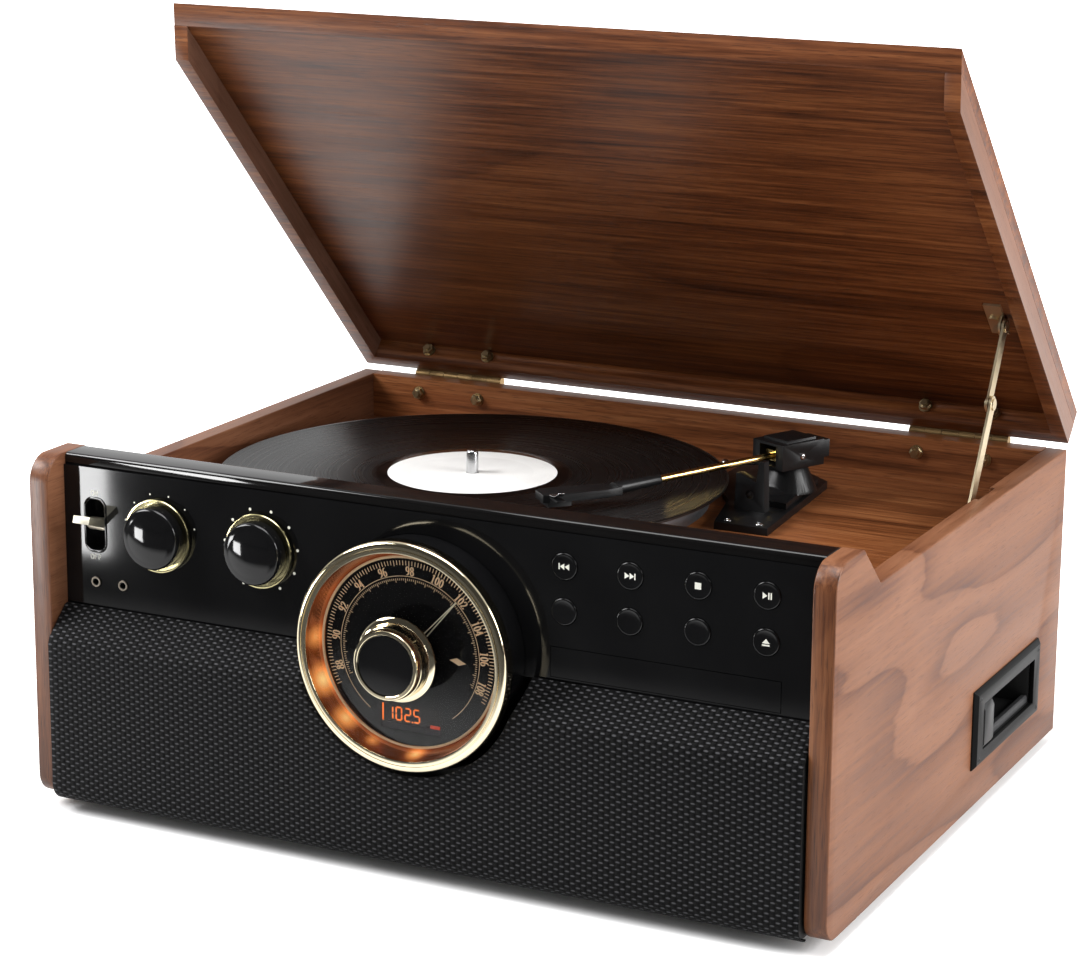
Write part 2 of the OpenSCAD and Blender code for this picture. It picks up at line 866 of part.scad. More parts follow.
// Box behind the bezel: the key's cell ahead, the cassette's bay beside it
module cassette_housing() {
    low_y = slot_y - slot_w / 2 - case_wall;
    color([0.13, 0.13, 0.14])
        place()
            difference() {
                translate([half_w - slot_deep, low_y, slot_z - slot_h / 2 - case_wall])
                    cube([slot_deep - 0.1, slot_w + 2 * case_wall, slot_h + 2 * case_wall]);
                translate([half_w - slot_deep + case_wall, bay_y0, slot_z - slot_h / 2])
                    cube([slot_deep, slot_y + slot_w / 2 - bay_y0, slot_h]);
                translate([half_w - 22, slot_y - slot_w / 2, slot_z - slot_h / 2])
                    cube([23, key_w + 2 * key_gap, slot_h]);
            }
}

// Stop and eject key, sprung, pressed inward; its face is bevelled above and below
module cassette_key() {
    color([0.1, 0.1, 0.1])
        place()
            translate([half_w, slot_y - slot_w / 2 + key_gap, slot_z])
                rotate([-90, 0, 0])
                    linear_extrude(key_w)
                        polygon([[-key_in, -key_h / 2], [key_out - 2, -key_h / 2], [key_out, -key_h / 2 + 4],
                            [key_out, key_h / 2 - 2], [key_out - 1, key_h / 2], [-key_in, key_h / 2]]);
}

// ---- Electronics ----

// Boards with the controls' bodies, the tuner, the main board and the transformer
pot_r = 9;
control_y = fascia_back + 10.5;
board_t = 1.6;
post_r = 3;
main_x = 20;
main_y = 190;
main_z = bottom_z + bottom_t;
mains_x = -in_x + 37.5;
mains_y = 250;
module circuit_boards() {
    color([0.1, 0.35, 0.2])
        place() {
            difference() {
                union() {
                    translate([selector_x - 27.8, control_y, knob_z - 14])
                        cube([120, board_t, 30]);
                    for (x = [selector_x, volume_x])
                        rod_y(x, knob_z, pot_r, fascia_back + edge_gap, control_y + 0.1);
                }
                for (x = [selector_x, volume_x])
                    rod_y(x, knob_z, knob_shaft_r + run_gap, fascia_back, knob_shaft_end + 0.5);
            }
            translate([button_x[0] - 10.4, board_y, button_z[1] - 6.6])
                cube([button_x[3] - button_x[0] + 20.1, board_t, 40]);
            for (x = button_x, z = button_z)
                translate([x - 3, board_y - 2.1, z - 3])
                    cube([6, 2.2, 6]);
            for (i = [0, 2], z = [button_z[1] - 1.6, button_z[0] + 3])
                rod_y((button_x[i] + button_x[i + 1]) / 2, z, post_r, fascia_back + 0.02, board_y + 0.1);
            difference() {
                translate([dial_x - 20, drum_back + edge_gap, dial_z - 14])
                    cube([40, 20, 28]);
                rod_y(dial_x, dial_z, shaft_r + run_gap, drum_back, tuning_shaft_end + 0.5);
            }
            translate([main_x - 80, main_y - 50, main_z + 8])
                cube([160, 100, board_t]);
            for (side = [-1, 1], end = [-1, 1])
                translate([main_x + side * 72, main_y + end * 43, main_z + 0.02])
                    cylinder(r = post_r, h = 8.1);
            translate([main_x - 50, main_y - 20, main_z + 8 + board_t - 0.1])
                cube([60, 4, 26]);
            for (i = [0 : 3])
                translate([main_x + 25 + i * 13, main_y + 20, main_z + 8 + board_t - 0.1])
                    cylinder(r = 5, h = 20);
            translate([mains_x, mains_y, main_z + 0.02])
                cube([62, 52, 6]);
            translate([mains_x + 6, mains_y + 4, main_z + 5])
                cube([50, 44, 40]);
        }
}

// Plate on the back with two line sockets and a mains inlet
rca_r = 4.2;
rca_x = [-36, -18];
inlet_x = 26;
module rear_sockets() {
    color([0.12, 0.12, 0.12])
        place()
            translate([socket_x, cab_d + 0.02, socket_z])
                difference() {
                    union() {
                        translate([-socket_w / 2 - 4, 0, -socket_h / 2 - 4])
                            cube([socket_w + 8, 1.6, socket_h + 8]);
                        translate([inlet_x - 14, -20, -11])
                            cube([28, 21, 22]);
                        for (x = rca_x) {
                            rod_y(x, 0, rca_r + 2, -8, 2.4);
                            rod_y(x, 0, rca_r, 0, 9);
                        }
                    }
                    for (x = rca_x)
                        rod_y(x, 0, rca_r - 0.8, 3, 10);
                    difference() {
                        for (end = [-1, 1])
                            rod_y(inlet_x + end * 3.4, 0, 4.1, -11, 2);
                        for (end = [-1, 1])
                            rod_y(inlet_x + end * 4.3, 0, 1.1, -12, 0);
                    }
                }
}

// ---- Record player ----

// Turned form about the spindle's axis
module turned_disc() {
    translate([disc_x, disc_y, 0])
        rotate_extrude($fn = fine)
            children();
}

spindle_r = 3.5;
spindle_up = 13.9;
platter_skirt = 10.6;
// Cast platter: rim skirt, flat top, the belt's drive ring and the hub
module platter() {
    color([0.15, 0.15, 0.15])
        place()
            turned_disc()
                polygon([[spindle_r + 0.02, platter_top], [platter_r - 1, platter_top], [platter_r, platter_top - 1],
                    [platter_r, platter_top - platter_skirt], [platter_r - 4, platter_top - platter_skirt],
                    [platter_r - 5, platter_top - 4], [belt_r, platter_top - 4], [belt_r, platter_top - 11.6],
                    [belt_r - 3, platter_top - 11.6], [belt_r - 4, platter_top - 4], [12, platter_top - 4],
                    [9, platter_top - 13.6], [spindle_r + 0.02, platter_top - 13.6]]);
}

module slip_mat() {
    color([0.08, 0.08, 0.08])
        place()
            turned_disc()
                polygon([[spindle_r + 0.2, platter_top + 0.02], [platter_r, platter_top + 0.02],
                    [platter_r, platter_top + mat_t], [spindle_r + 0.2, platter_top + mat_t]]);
}

// Record with its raised label, its rim bead and the hole for the spindle
label_r = 50;
module vinyl_record() {
    color([0.03, 0.03, 0.03])
        place()
            turned_disc()
                polygon([[spindle_r + 0.12, record_z - record_t + 0.02], [record_r - 1, record_z - record_t + 0.02],
                    [record_r, record_z - record_t / 2], [record_r - 1, record_z], [record_r - 3.5, record_z - 0.3],
                    [label_r + 8, record_z - 0.3], [label_r, record_z], [spindle_r + 0.12, record_z]]);
}

// Spindle with a domed head, pressed into the platter and running in the bush
module center_spindle() {
    color([0.75, 0.75, 0.77])
        place()
            turned_disc()
                polygon(concat([[0, deck_under - 4]], [[spindle_r - 0.5, deck_under - 4], [spindle_r, deck_under - 3]],
                    arc(spindle_r - 2.5, record_z + spindle_up - 2.5, 2.5, 0, 90, 5),
                    [[0, record_z + spindle_up]]));
}

// Motor under the deck and the flanged bearing bush of the spindle
motor_r = 17;
motor_h = 24;
motor_shaft_r = 1;
module turntable_motor() {
    color([0.6, 0.6, 0.62])
        place() {
            translate([motor_x, motor_y, 0])
                difference() {
                    union() {
                        translate([0, 0, deck_under - motor_h - 2])
                            cylinder(r = motor_r, h = motor_h);
                        translate([-26, -8, deck_under - 2.05])
                            cube([52, 16, 2]);
                    }
                    translate([0, 0, deck_under - 16])
                        cylinder(r = motor_shaft_r + run_gap, h = 20);
                }
            turned_disc()
                polygon([[spindle_r + run_gap, deck_under - 6], [bush_r, deck_under - 6], [bush_r, deck_z + 0.02],
                    [bush_r + 6, deck_z + 0.02], [bush_r + 6, deck_z + 1.3], [spindle_r + run_gap, deck_z + 1.3]]);
        }
}

belt_z = platter_top - 10.6;
belt_h = 4;
belt_t = 1;
// Crowned pulley on the motor's shaft
module motor_pulley() {
    color([0.8, 0.7, 0.4])
        place()
            translate([motor_x, motor_y, 0])
                rotate_extrude()
                    polygon([[0, deck_under - 15], [motor_shaft_r, deck_under - 15], [motor_shaft_r, belt_z - 2],
                        [pulley_r + 1.6, belt_z - 2], [pulley_r + 1.6, belt_z - 1], [pulley_r, belt_z - 0.4],
                        [pulley_r, belt_z + belt_h + 0.4], [pulley_r + 1.6, belt_z + belt_h + 1],
                        [pulley_r + 1.6, belt_z + belt_h + 1.8], [0, belt_z + belt_h + 1.8]]);
}

// Outline round two wheels a distance apart, grown by the same margin
function belt_line(r1, r2, apart, grow) = let (a = acos((r1 - r2) / apart)) concat(
    arc(0, 0, r1 + grow, a, 360 - a, 60),
    arc(apart, 0, r2 + grow, -a, a, 12));

module drive_belt() {
    color([0.05, 0.05, 0.05])
        place()
            translate([disc_x, disc_y, belt_z])
                rotate([0, 0, motor_turn])
                    linear_extrude(belt_h)
                        difference() {
                            polygon(belt_line(belt_r, pulley_r, motor_gap, edge_gap + belt_t));
                            polygon(belt_line(belt_r, pulley_r, motor_gap, edge_gap));
                        }
}

// ---- Tonearm ----

// Axes at the tonearm's pivot with +X along the arm as it lies on the record
module arm_frame() {
    translate([arm_x, arm_y, 0])
        rotate([0, 0, -90 - arm_turn])
            children();
}

plate_z = deck_z + 4.6;
column_z = record_z + 2.2;
column_bore = 5;
rest_x = arm_x - rest_at * sin(rest_turn);
rest_y = arm_y - rest_at * cos(rest_turn);
rest_half = 7;
rest_low = tube_z - 3.1;
rest_high = record_z + 15;
// Moulded base: stepped plate, tapered column and the forked arm rest
module tonearm_base() {
    color([0.06, 0.06, 0.06])
        place() {
            difference() {
                union() {
                    translate([arm_x, arm_y, deck_z + 0.02])
                        linear_extrude(plate_z - deck_z)
                            polygon([[-13, -79], [20, -79], [11, 38], [-11, 56], [-51, 56],
                                [-51, 14], [-25, -30]]);
                    translate([arm_x, arm_y, plate_z - 0.5])
                        linear_extrude(4.2)
                            polygon([[-17, -30], [14, -36], [8, 30], [-13, 46], [-37, 46], [-37, 14]]);
                    translate([arm_x - 6, arm_y, plate_z + 3])
                        cylinder(r1 = 22, r2 = 17, h = 4);
                    translate([arm_x, arm_y, plate_z + 3])
                        cylinder(r1 = 18, r2 = 11.5, h = column_z - plate_z - 3);
                }
                translate([arm_x, arm_y, deck_z - 1])
                    cylinder(r = column_bore + run_gap, h = column_z);
            }
            cue_cheeks();
            translate([rest_x, rest_y, plate_z - 0.5])
                rotate([0, 0, -rest_turn])
                    rotate([90, 0, 0])
                        linear_extrude(6, center = true)
                            difference() {
                                polygon([[-rest_half - 3, 0], [rest_half + 3, 0], [rest_half + 2, rest_high - plate_z],
                                    [rest_half - 1.2, rest_high - plate_z], [rest_half - 3, rest_low - plate_z - 4],
                                    [-rest_half + 1, rest_low - plate_z], [-rest_half - 2, rest_low - plate_z]]);
                                translate([0, 10])
                                    circle(2.5);
                            }
        }
}

// Turret on the column: forked housing with a stepped top and the pivot's shaft
fork_half = 13;
fork_gap = 7;
turret_back = 17;
turret_front = 16;
turret_z = column_z + 0.4;
turret_top = record_z + 18;
lift_pin_r = 1.2;
module tonearm_turret() {
    color([0.07, 0.07, 0.07])
        place()
            arm_frame() {
                difference() {
                    union() {
                        translate([-turret_back, -fork_half, turret_z])
                            cube([turret_back + turret_front, 2 * fork_half, turret_top - turret_z]);
                        translate([-turret_back + 4, -fork_half + 3, turret_top - 0.1])
                            cube([turret_back + turret_front - 10, 2 * fork_half - 6, 1.6]);
                        translate([-turret_back - 8, -fork_half + 4, turret_z + 3])
                            cube([9, 2 * fork_half - 8, turret_top - turret_z - 5]);
                    }
                    translate([-9, -fork_gap, turret_z + 1.6])
                        cube([turret_front + 10, 2 * fork_gap, turret_top - turret_z - 3.2]);
                    translate([0, -fork_half - 1, tube_z])
                        rotate([-90, 0, 0])
                            cylinder(r = lift_pin_r + run_gap, h = 2 * fork_half + 2);
                }
                translate([0, 0, deck_under])
                    cylinder(r = column_bore, h = turret_z - deck_under + 0.1);
            }
}

// Arm tube in its pivot block, with the lift axis pin through both
block_half = 6.3;
block_h = 3.2;
tube_fall = 0.7;
module tonearm_tube() {
    color(gold)
        place()
            arm_frame()
                translate([0, 0, tube_z]) {
                    translate([-7.5, -block_half, -block_h])
                        cube([20, 2 * block_half, 2 * block_h]);
                    rotate([0, 90 + tube_fall, 0])
                        cylinder(r = tube_r, h = tube_len - 33);
                    translate([0, -fork_half + 0.4, 0])
                        rotate([-90, 0, 0])
                            cylinder(r = lift_pin_r, h = 2 * fork_half - 0.8);
                }
}

// Headshell with its collar, finger lift, cartridge and stylus
head_len = 46;
head_z = record_z + 6.4;
module headshell() {
    color([0.06, 0.06, 0.06])
        place()
            arm_frame()
                translate([tube_len, 0, 0]) {
                    translate([-32.7, 0, tube_z - 1.3])
                        rotate([0, 90 + tube_fall, 0])
                            cylinder(r1 = tube_r + 0.8, r2 = tube_r + 1.6, h = 34);
                    rotate([0, 0, -head_turn]) {
                        translate([0, 0, head_z - 1.4])
                            linear_extrude(4.6)
                                polygon([[-3, -4], [8, -7.5], [head_len - 3, -8.5], [head_len, -6],
                                    [head_len, 6], [head_len - 3, 8.5], [8, 7.5], [-3, 4]]);
                        translate([stylus_x - 11, -6.5, record_z + 2])
                            cube([14, 13, 4]);
                        translate([stylus_x, 0, record_z + edge_gap])
                            cylinder(r1 = 0.4, r2 = 1.6, h = 2.2);
                        translate([head_len - 8, 8, head_z + 1.4])
                            cube([5, 12, 1.2]);
                    }
                }
}

// Cue lever on its own pin between two cheeks of the base
cue_x = arm_x - 25;
cue_y = arm_y + 30;
cue_z = plate_z + 9;
cue_turn = 235;
cue_len = 30;
cue_pin_r = 1;
cue_hub = 5;
cheek_t = 1.6;
module cue_frame() {
    translate([cue_x, cue_y, cue_z])
        rotate([0, 0, cue_turn])
            children();
}

module cue_lever() {
    color([0.8, 0.75, 0.6])
        place()
            cue_frame() {
                rotate([90, 0, 0])
                    cylinder(r = 2.6, h = cue_hub, center = true);
                rotate([90, 0, 0])
                    cylinder(r = cue_pin_r, h = cue_hub + 2 * edge_gap + 2 * cheek_t - 0.4, center = true);
                rotate([0, 84, 0])
                    cylinder(r = 1.2, h = cue_len);
                translate([cue_len * sin(84), 0, cue_len * cos(84)])
                    sphere(r = 2.6);
            }
}

// The cheeks that carry the cue lever, drawn in its own frame
module cue_cheeks() {
    cue_frame()
        difference() {
            for (side = [-1, 1])
                translate([-3.5, side * (cue_hub / 2 + edge_gap + cheek_t / 2) - cheek_t / 2, plate_z - cue_z + 3])
                    cube([7, cheek_t, cue_z - plate_z]);
            rotate([90, 0, 0])
                cylinder(r = cue_pin_r + run_gap, h = 30, center = true);
        }
}

// ---- Lid and its hardware ----

// Where the lid's front cut meets the height z
function cut_y(z) = lid_cut - (z - lid_z) / lid_h * (lid_cut - lid_front);

module lid_panel() {
    color(veneer)
        open_lid()
            across(cab_w)
                polygon([[cut_y(lid_under), lid_under], [cab_d, lid_under],
                    [cab_d, lid_z + lid_h], [lid_front, lid_z + lid_h]]);
}

// Side rims with the slanted front cut, joined by the rear rim
module lid_rims() {
    color(veneer)
        open_lid()
            difference() {
                union() {
                    for (side = [-1, 1])
                        translate([side * (half_w - lid_rim_t / 2), 0, 0])
                            across(lid_rim_t)
                                polygon([[lid_cut, lid_z], [cab_d, lid_z], [cab_d, lid_under - 0.02],
                                    [cut_y(lid_under), lid_under - 0.02]]);
                    translate([-half_w + 1, cab_d - lid_rim_t, lid_z])
                        cube([cab_w - 2, lid_rim_t, lid_under - lid_z - 0.02]);
                }
                each_bolt()
                    rod_y(0, pin_z + bolt_up, bolt_hole, back_y - 10, cab_d + 1);
            }
}

// Knuckles and tabs of one leaf: every second one, starting with first
module knuckle_row(first, bore, tab_from, tab_to) {
    for (side = [-1, 1])
        for (i = [first : 2 : knuckles - 1])
            translate([side * hinge_x - hinge_w / 2 + i * knuckle_w + edge_gap / 2, pin_y, pin_z]) {
                difference() {
                    rotate([0, 90, 0])
                        cylinder(r = knuckle_r, h = knuckle_w - edge_gap);
                    translate([-1, 0, 0])
                        rotate([0, 90, 0])
                            cylinder(r = bore, h = knuckle_w + 2);
                }
                difference() {
                    translate([0, -knuckle_r, tab_from])
                        cube([knuckle_w - edge_gap, leaf_t, tab_to - tab_from]);
                    translate([-1, 0, 0])
                        rotate([0, 90, 0])
                            cylinder(r = bore, h = knuckle_w + 2);
                }
            }
}

// Flat plate of both hinges' leaves with the bolt holes
tab_h = 4.6;
module leaf_plates(low, bolt_z) {
    for (side = [-1, 1])
        difference() {
            translate([side * hinge_x - hinge_w / 2, cab_d + 0.02, low])
                cube([hinge_w, leaf_t, leaf_h]);
            for (end = [-1, 1])
                rod_y(side * hinge_x + end * bolt_x, bolt_z, bolt_hole, cab_d - 1, cab_d + leaf_t + 1);
        }
}

// Both cabinet leaves with the pins pressed through their knuckles
module hinge_cabinet_leaves() {
    color([0.45, 0.36, 0.2])
        place() {
            leaf_plates(pin_z - tab_h - leaf_h + 0.6, pin_z - bolt_down);
            knuckle_row(0, pin_r - 0.01, -tab_h, 0);
            for (side = [-1, 1])
                translate([side * hinge_x - hinge_w / 2 + edge_gap / 2, pin_y, pin_z])
                    rotate([0, 90, 0])
                        cylinder(r = pin_r, h = hinge_w - edge_gap);
        }
}

module hinge_lid_leaves() {
    color([0.45, 0.36, 0.2])
        open_lid() {
            leaf_plates(pin_z + tab_h - 0.6, pin_z + bolt_up);
            knuckle_row(1, pin_r + run_gap, 0, tab_h);
        }
}

// Bolt along Y: domed head behind the leaf, washer and nut on the inner face
head_r = 3.4;
head_t = 1.8;
nut_t = 2.8;
washer_t = 0.9;
module bolt_set(z, inner) {
    each_bolt() {
        rod_y(0, z, bolt_r, inner - washer_t - nut_t - 1, cab_d + leaf_t + 0.1);
        turned_y(0, z)
            polygon(concat([[0, cab_d + leaf_t + 0.02], [head_r, cab_d + leaf_t + 0.02]],
                arc(0, cab_d + leaf_t + 0.4, head_t - 0.4, 60, 90, 3)));
        rod_y(0, z, washer_r, inner - washer_t, inner - 0.02);
        translate([0, inner - washer_t + 0.01, z])
            rotate([90, 0, 0])
                cylinder(r = nut_r, h = nut_t, $fn = 6);
    }
}

// Hinge bolts of the cabinet and the lid stay's bracket on the right side's inner face
rivet_r = 2;
rivet_head = 3.4;
boss_r = 6;
module cabinet_fasteners() {
    color([0.35, 0.33, 0.3])
        place() {
            bolt_set(pin_z - bolt_down, back_y);
            translate([0, stay_low[0], stay_low[1]])
                rotate([0, 90, 0]) {
                    translate([0, 0, stay_x + stay_air + stay_t + 0.6])
                        cylinder(r = boss_r, h = in_x - stay_x - stay_air - stay_t - 0.62);
                    translate([0, 0, stay_x - 1])
                        cylinder(r = rivet_r, h = 6);
                    translate([0, 0, stay_x - 1])
                        cylinder(r = rivet_head, h = 1);
                }
        }
}

module lid_fasteners() {
    color([0.35, 0.33, 0.3])
        open_lid()
            bolt_set(pin_z + bolt_up, cab_d - lid_rim_t);
}

// Bracket under the lid: screwed foot, round lug and the upper pivot's rivet
lug_y = pin_y + stay_hang[0];
lug_z = pin_z + stay_hang[1];
lug_x = stay_x - stay_air - 2 * stay_t - 0.5;
lug_r = 5.2;
foot_half = 14;
module stay_bracket() {
    color([0.6, 0.52, 0.35])
        open_lid() {
            translate([lug_x - 9, lug_y - foot_half, lid_under - 1.52])
                cube([9 + stay_t, 2 * foot_half, 1.5]);
            translate([lug_x - 5, lug_y, lid_under - 3])
                cylinder(r = 3.2, h = 1.6);
            translate([lug_x, lug_y, lug_z])
                rotate([90, 0, 90])
                    linear_extrude(stay_t) {
                        circle(lug_r);
                        translate([-lug_r, 0])
                            square([2 * lug_r, lid_under - lug_z - 0.5]);
                    }
            translate([lug_x + 0.1, lug_y, lug_z])
                rotate([0, 90, 0])
                    cylinder(r = rivet_r, h = stay_t * 2 + 1.2);
            translate([stay_x - stay_air + 0.2, lug_y, lug_z])
                rotate([0, 90, 0])
                    cylinder(r = rivet_head, h = 0.8);
        }
}

// A strap in the plane x from one pivot, pierced there, with a rivet at its far end
module stay_strap(x, length) {
    translate([x, 0, 0])
        rotate([90, 0, 90])
            linear_extrude(stay_t)
                difference() {
                    union() {
                        circle(stay_wide / 2 + 0.8);
                        translate([0, -stay_wide / 2])
                            square([length, stay_wide]);
                        translate([length, 0])
                            circle(stay_wide / 2 + 0.8);
                    }
                    circle(rivet_r + run_gap);
                }
}

module stay_lower_arm() {
    color([0.6, 0.52, 0.35])
        place()
            translate([0, stay_low[0], stay_low[1]])
                rotate([stay_angle, 0, 0]) {
                    stay_strap(stay_x + stay_air, stay_lower);
                    translate([stay_x + stay_air + stay_t - 0.1, stay_lower, 0])
                        rotate([0, 90, 0])
                            cylinder(r = rivet_head, h = 1);
                }
}

module stay_upper_arm() {
    color([0.6, 0.52, 0.35])
        place()
            translate([0, stay_high[0], stay_high[1]])
                rotate([stay_angle + 180, 0, 0]) {
                    stay_strap(stay_x - stay_air - stay_t, stay_upper);
                    translate([stay_x - stay_air - stay_t - 0.9, stay_upper, 0])
                        rotate([0, 90, 0])
                            cylinder(r = rivet_head, h = 1);
                }
}

side_panel_left();
side_panel_right();
back_panel();
bottom_panel();
deck_panel();
fascia_plate();
fascia_top_cap();
grille_frame();
grille_cloth();
speaker_drivers();
dial_drum();
dial_bezel();
dial_light_ring();
dial_face();
dial_glass();
display_window();
dial_pointer();
tuning_knob();
selector_knob();
volume_knob();
power_switch_plate();
power_lever();
jack_sockets();
skip_back_button();
skip_forward_button();
stop_button();
play_button();
program_button();
repeat_button();
pairing_button();
tray_button();
cd_housing();
cd_tray();
cassette_bezel();
cassette_housing();
cassette_key();
circuit_boards();
platter();
slip_mat();
vinyl_record();
center_spindle();
turntable_motor();
motor_pulley();
drive_belt();
tonearm_base();
tonearm_turret();
tonearm_tube();
headshell();
cue_lever();
lid_panel();
lid_rims();
hinge_cabinet_leaves();
hinge_lid_leaves();
cabinet_fasteners();
lid_fasteners();
stay_bracket();
stay_upper_arm();
stay_lower_arm();
feet();
rear_sockets();
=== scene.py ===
# %% [markdown]
# # Stereo music centre
# A veneered cabinet holds a record player under a hinged lid, a radio dial, two knobs,
# a disc tray, a cassette slot and a cloth grille. The construction comes ready made as a
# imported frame, so this lesson gives it its looks: soft edges, veneer, gloss, cloth, metal.
# Every new piece is worked out in cabinet millimetres and then set down in the frame.

import json
import math

import bmesh
import bpy
import numpy as np
from mathutils import Matrix, Vector

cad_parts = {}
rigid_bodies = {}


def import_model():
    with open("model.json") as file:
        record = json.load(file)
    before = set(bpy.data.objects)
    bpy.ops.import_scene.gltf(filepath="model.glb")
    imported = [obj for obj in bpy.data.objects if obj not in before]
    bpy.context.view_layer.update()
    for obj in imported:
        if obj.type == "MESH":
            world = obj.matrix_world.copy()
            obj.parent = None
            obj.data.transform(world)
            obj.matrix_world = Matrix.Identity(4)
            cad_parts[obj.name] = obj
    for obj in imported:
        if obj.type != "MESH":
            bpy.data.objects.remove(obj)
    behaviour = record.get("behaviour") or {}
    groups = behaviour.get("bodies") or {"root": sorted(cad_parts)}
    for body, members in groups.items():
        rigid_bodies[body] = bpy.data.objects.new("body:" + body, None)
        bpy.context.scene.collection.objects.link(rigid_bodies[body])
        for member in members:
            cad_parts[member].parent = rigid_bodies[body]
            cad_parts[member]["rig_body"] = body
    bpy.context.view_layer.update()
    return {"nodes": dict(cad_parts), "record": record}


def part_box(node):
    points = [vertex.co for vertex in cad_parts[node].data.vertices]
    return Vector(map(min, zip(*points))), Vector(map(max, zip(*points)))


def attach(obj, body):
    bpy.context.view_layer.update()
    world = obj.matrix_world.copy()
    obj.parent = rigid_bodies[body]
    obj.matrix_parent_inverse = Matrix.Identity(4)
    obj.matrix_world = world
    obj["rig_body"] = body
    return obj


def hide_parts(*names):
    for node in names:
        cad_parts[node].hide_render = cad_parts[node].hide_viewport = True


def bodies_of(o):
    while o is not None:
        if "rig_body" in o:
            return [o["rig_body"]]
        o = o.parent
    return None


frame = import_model()
NODES = frame["nodes"]

MM = 0.001
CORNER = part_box("side_panel_left")[0]
FRONT_Y, BASE_Z = CORNER.y, CORNER.z


def at(points):
    """Cabinet millimetres to the frame's metres: x from the middle, y back from the side
    panels' front edges, z up from their lower edges."""
    p = np.atleast_2d(np.asarray(points, float)) * MM
    return p + np.array([0.0, FRONT_Y, BASE_Z])


def box_mm(node):
    """A CAD node's lowest and highest corners in cabinet mm."""
    corner = np.array([0.0, FRONT_Y, BASE_Z])
    return [(np.array(point) - corner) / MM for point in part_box(node)]


def body_of(node):
    """The body that a CAD node rides on."""
    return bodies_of(NODES[node])[0]


print("nodes", len(NODES), "front", round(FRONT_Y, 4), "base", round(BASE_Z, 4))

# %% [markdown]
# ## Camera
# The photographer stood to the right, a little above the lid's hinge line. The focal
# length, place and angles were solved from the cabinet's edges, so the render and the
# photograph can be laid over each other. Yaw turns the camera left, pitch tips it down,
# and the two small shifts stand for a frame that was cropped off centre.

# %% Set the camera
PHOTO_W = 1080
PHOTO_H = 962
FOCAL_PX = 3087.34
CENTRE_PX = (498.73, 460.07)
SENSOR = 36.0
CAMERA_AT = (751.48, -1364.49, 616.52)
YAW, PITCH, ROLL = 27.07, -14.10, 0.21

lens = bpy.data.cameras.new("camera")
camera = bpy.data.objects.new("camera", lens)
bpy.context.scene.collection.objects.link(camera)
bpy.context.scene.camera = camera
lens.sensor_width = SENSOR
lens.lens = FOCAL_PX / PHOTO_W * SENSOR
lens.shift_x = (PHOTO_W / 2 - CENTRE_PX[0]) / PHOTO_W
lens.shift_y = (CENTRE_PX[1] - PHOTO_H / 2) / PHOTO_W
lens.clip_start = 0.01
camera.location = Vector(at(CAMERA_AT)[0])
turn = Matrix.Rotation(math.radians(YAW), 4, "Z")
tip = Matrix.Rotation(math.radians(90 + PITCH), 4, "X")
lean = Matrix.Rotation(math.radians(ROLL), 4, "Z")
camera.rotation_euler = (turn @ tip @ lean).to_euler()
print("lens", round(lens.lens, 2), "mm, shift", round(lens.shift_x, 4), round(lens.shift_y, 4))

# %% [markdown]
# ## Making meshes from formulas
# Three helpers carry most pieces. A grid of points becomes a sheet of quads; a profile
# turned about an axis becomes a knob or a ring; an outline pushed along its normal
# becomes a plate. All of them work on whole numpy arrays.

# %% Mesh helpers
def new_piece(name, points, faces, body, material, smooth=True):
    """Makes a mesh from frame points and faces, lets it ride on a body, gives it a material."""
    mesh = bpy.data.meshes.new(name)
    mesh.from_pydata([tuple(p) for p in np.asarray(points, float)], [], [tuple(map(int, f)) for f in faces])
    mesh.validate()
    mesh.update()
    piece = bpy.data.objects.new(name, mesh)
    bpy.context.scene.collection.objects.link(piece)
    if smooth:
        mesh.shade_smooth()
    if material is not None:
        mesh.materials.append(material)
    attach(piece, body)
    return piece


def grid_faces(rows, cols, wrap=False, flip=False, first=0):
    """Quads over a rows x cols grid of points, closed round the columns when wrap is set."""
    r = np.arange(rows - 1)[:, None]
    c = np.arange(cols if wrap else cols - 1)[None, :]
    nxt = (c + 1) % cols
    a, b = r * cols + c, r * cols + nxt
    d, e = (r + 1) * cols + c, (r + 1) * cols + nxt
    quads = np.stack([a, b, e, d], -1).reshape(-1, 4) + first
    return quads[:, ::-1] if flip else quads


def sharpen(piece, degrees=32):
    """Keeps edges steeper than an angle crisp while the rest shades smoothly."""
    piece.data.shade_smooth()
    piece.data.set_sharp_from_angle(angle=math.radians(degrees))
    return piece


def turned(name, profile, centre, axis, body, material, segments=96, degrees=30):
    """Surface of revolution. profile holds (radius, height) in mm, height measured along
    axis from centre; point(t, a) = centre + height*axis + radius*(cos a * u + sin a * v).
    A radius of zero closes the form with one pole point."""
    axis = np.asarray(axis, float)
    u = np.array([1.0, 0, 0]) if abs(axis[0]) < 0.9 else np.array([0, 1.0, 0])
    u = u - axis * (u @ axis)
    u = u / np.linalg.norm(u)
    v = np.cross(axis, u)
    profile = np.asarray(profile, float)
    a = np.arange(segments) * 2 * np.pi / segments
    ring = np.cos(a)[:, None] * u + np.sin(a)[:, None] * v
    points = (np.asarray(centre, float) + profile[:, 1][:, None, None] * axis
              + profile[:, 0][:, None, None] * ring[None])
    faces = grid_faces(len(profile), segments, wrap=True)
    piece = new_piece(name, at(points.reshape(-1, 3)), faces, body, material)
    close_up(piece)
    return sharpen(piece, degrees)


def close_up(piece, distance=1e-6):
    """Merges doubled points, which closes poles and seams, and turns faces outwards."""
    bm = bmesh.new()
    bm.from_mesh(piece.data)
    bmesh.ops.remove_doubles(bm, verts=bm.verts, dist=distance)
    bmesh.ops.dissolve_degenerate(bm, dist=distance / 10, edges=bm.edges)
    bmesh.ops.recalc_face_normals(bm, faces=bm.faces)
    bm.to_mesh(piece.data)
    bm.free()
    return piece


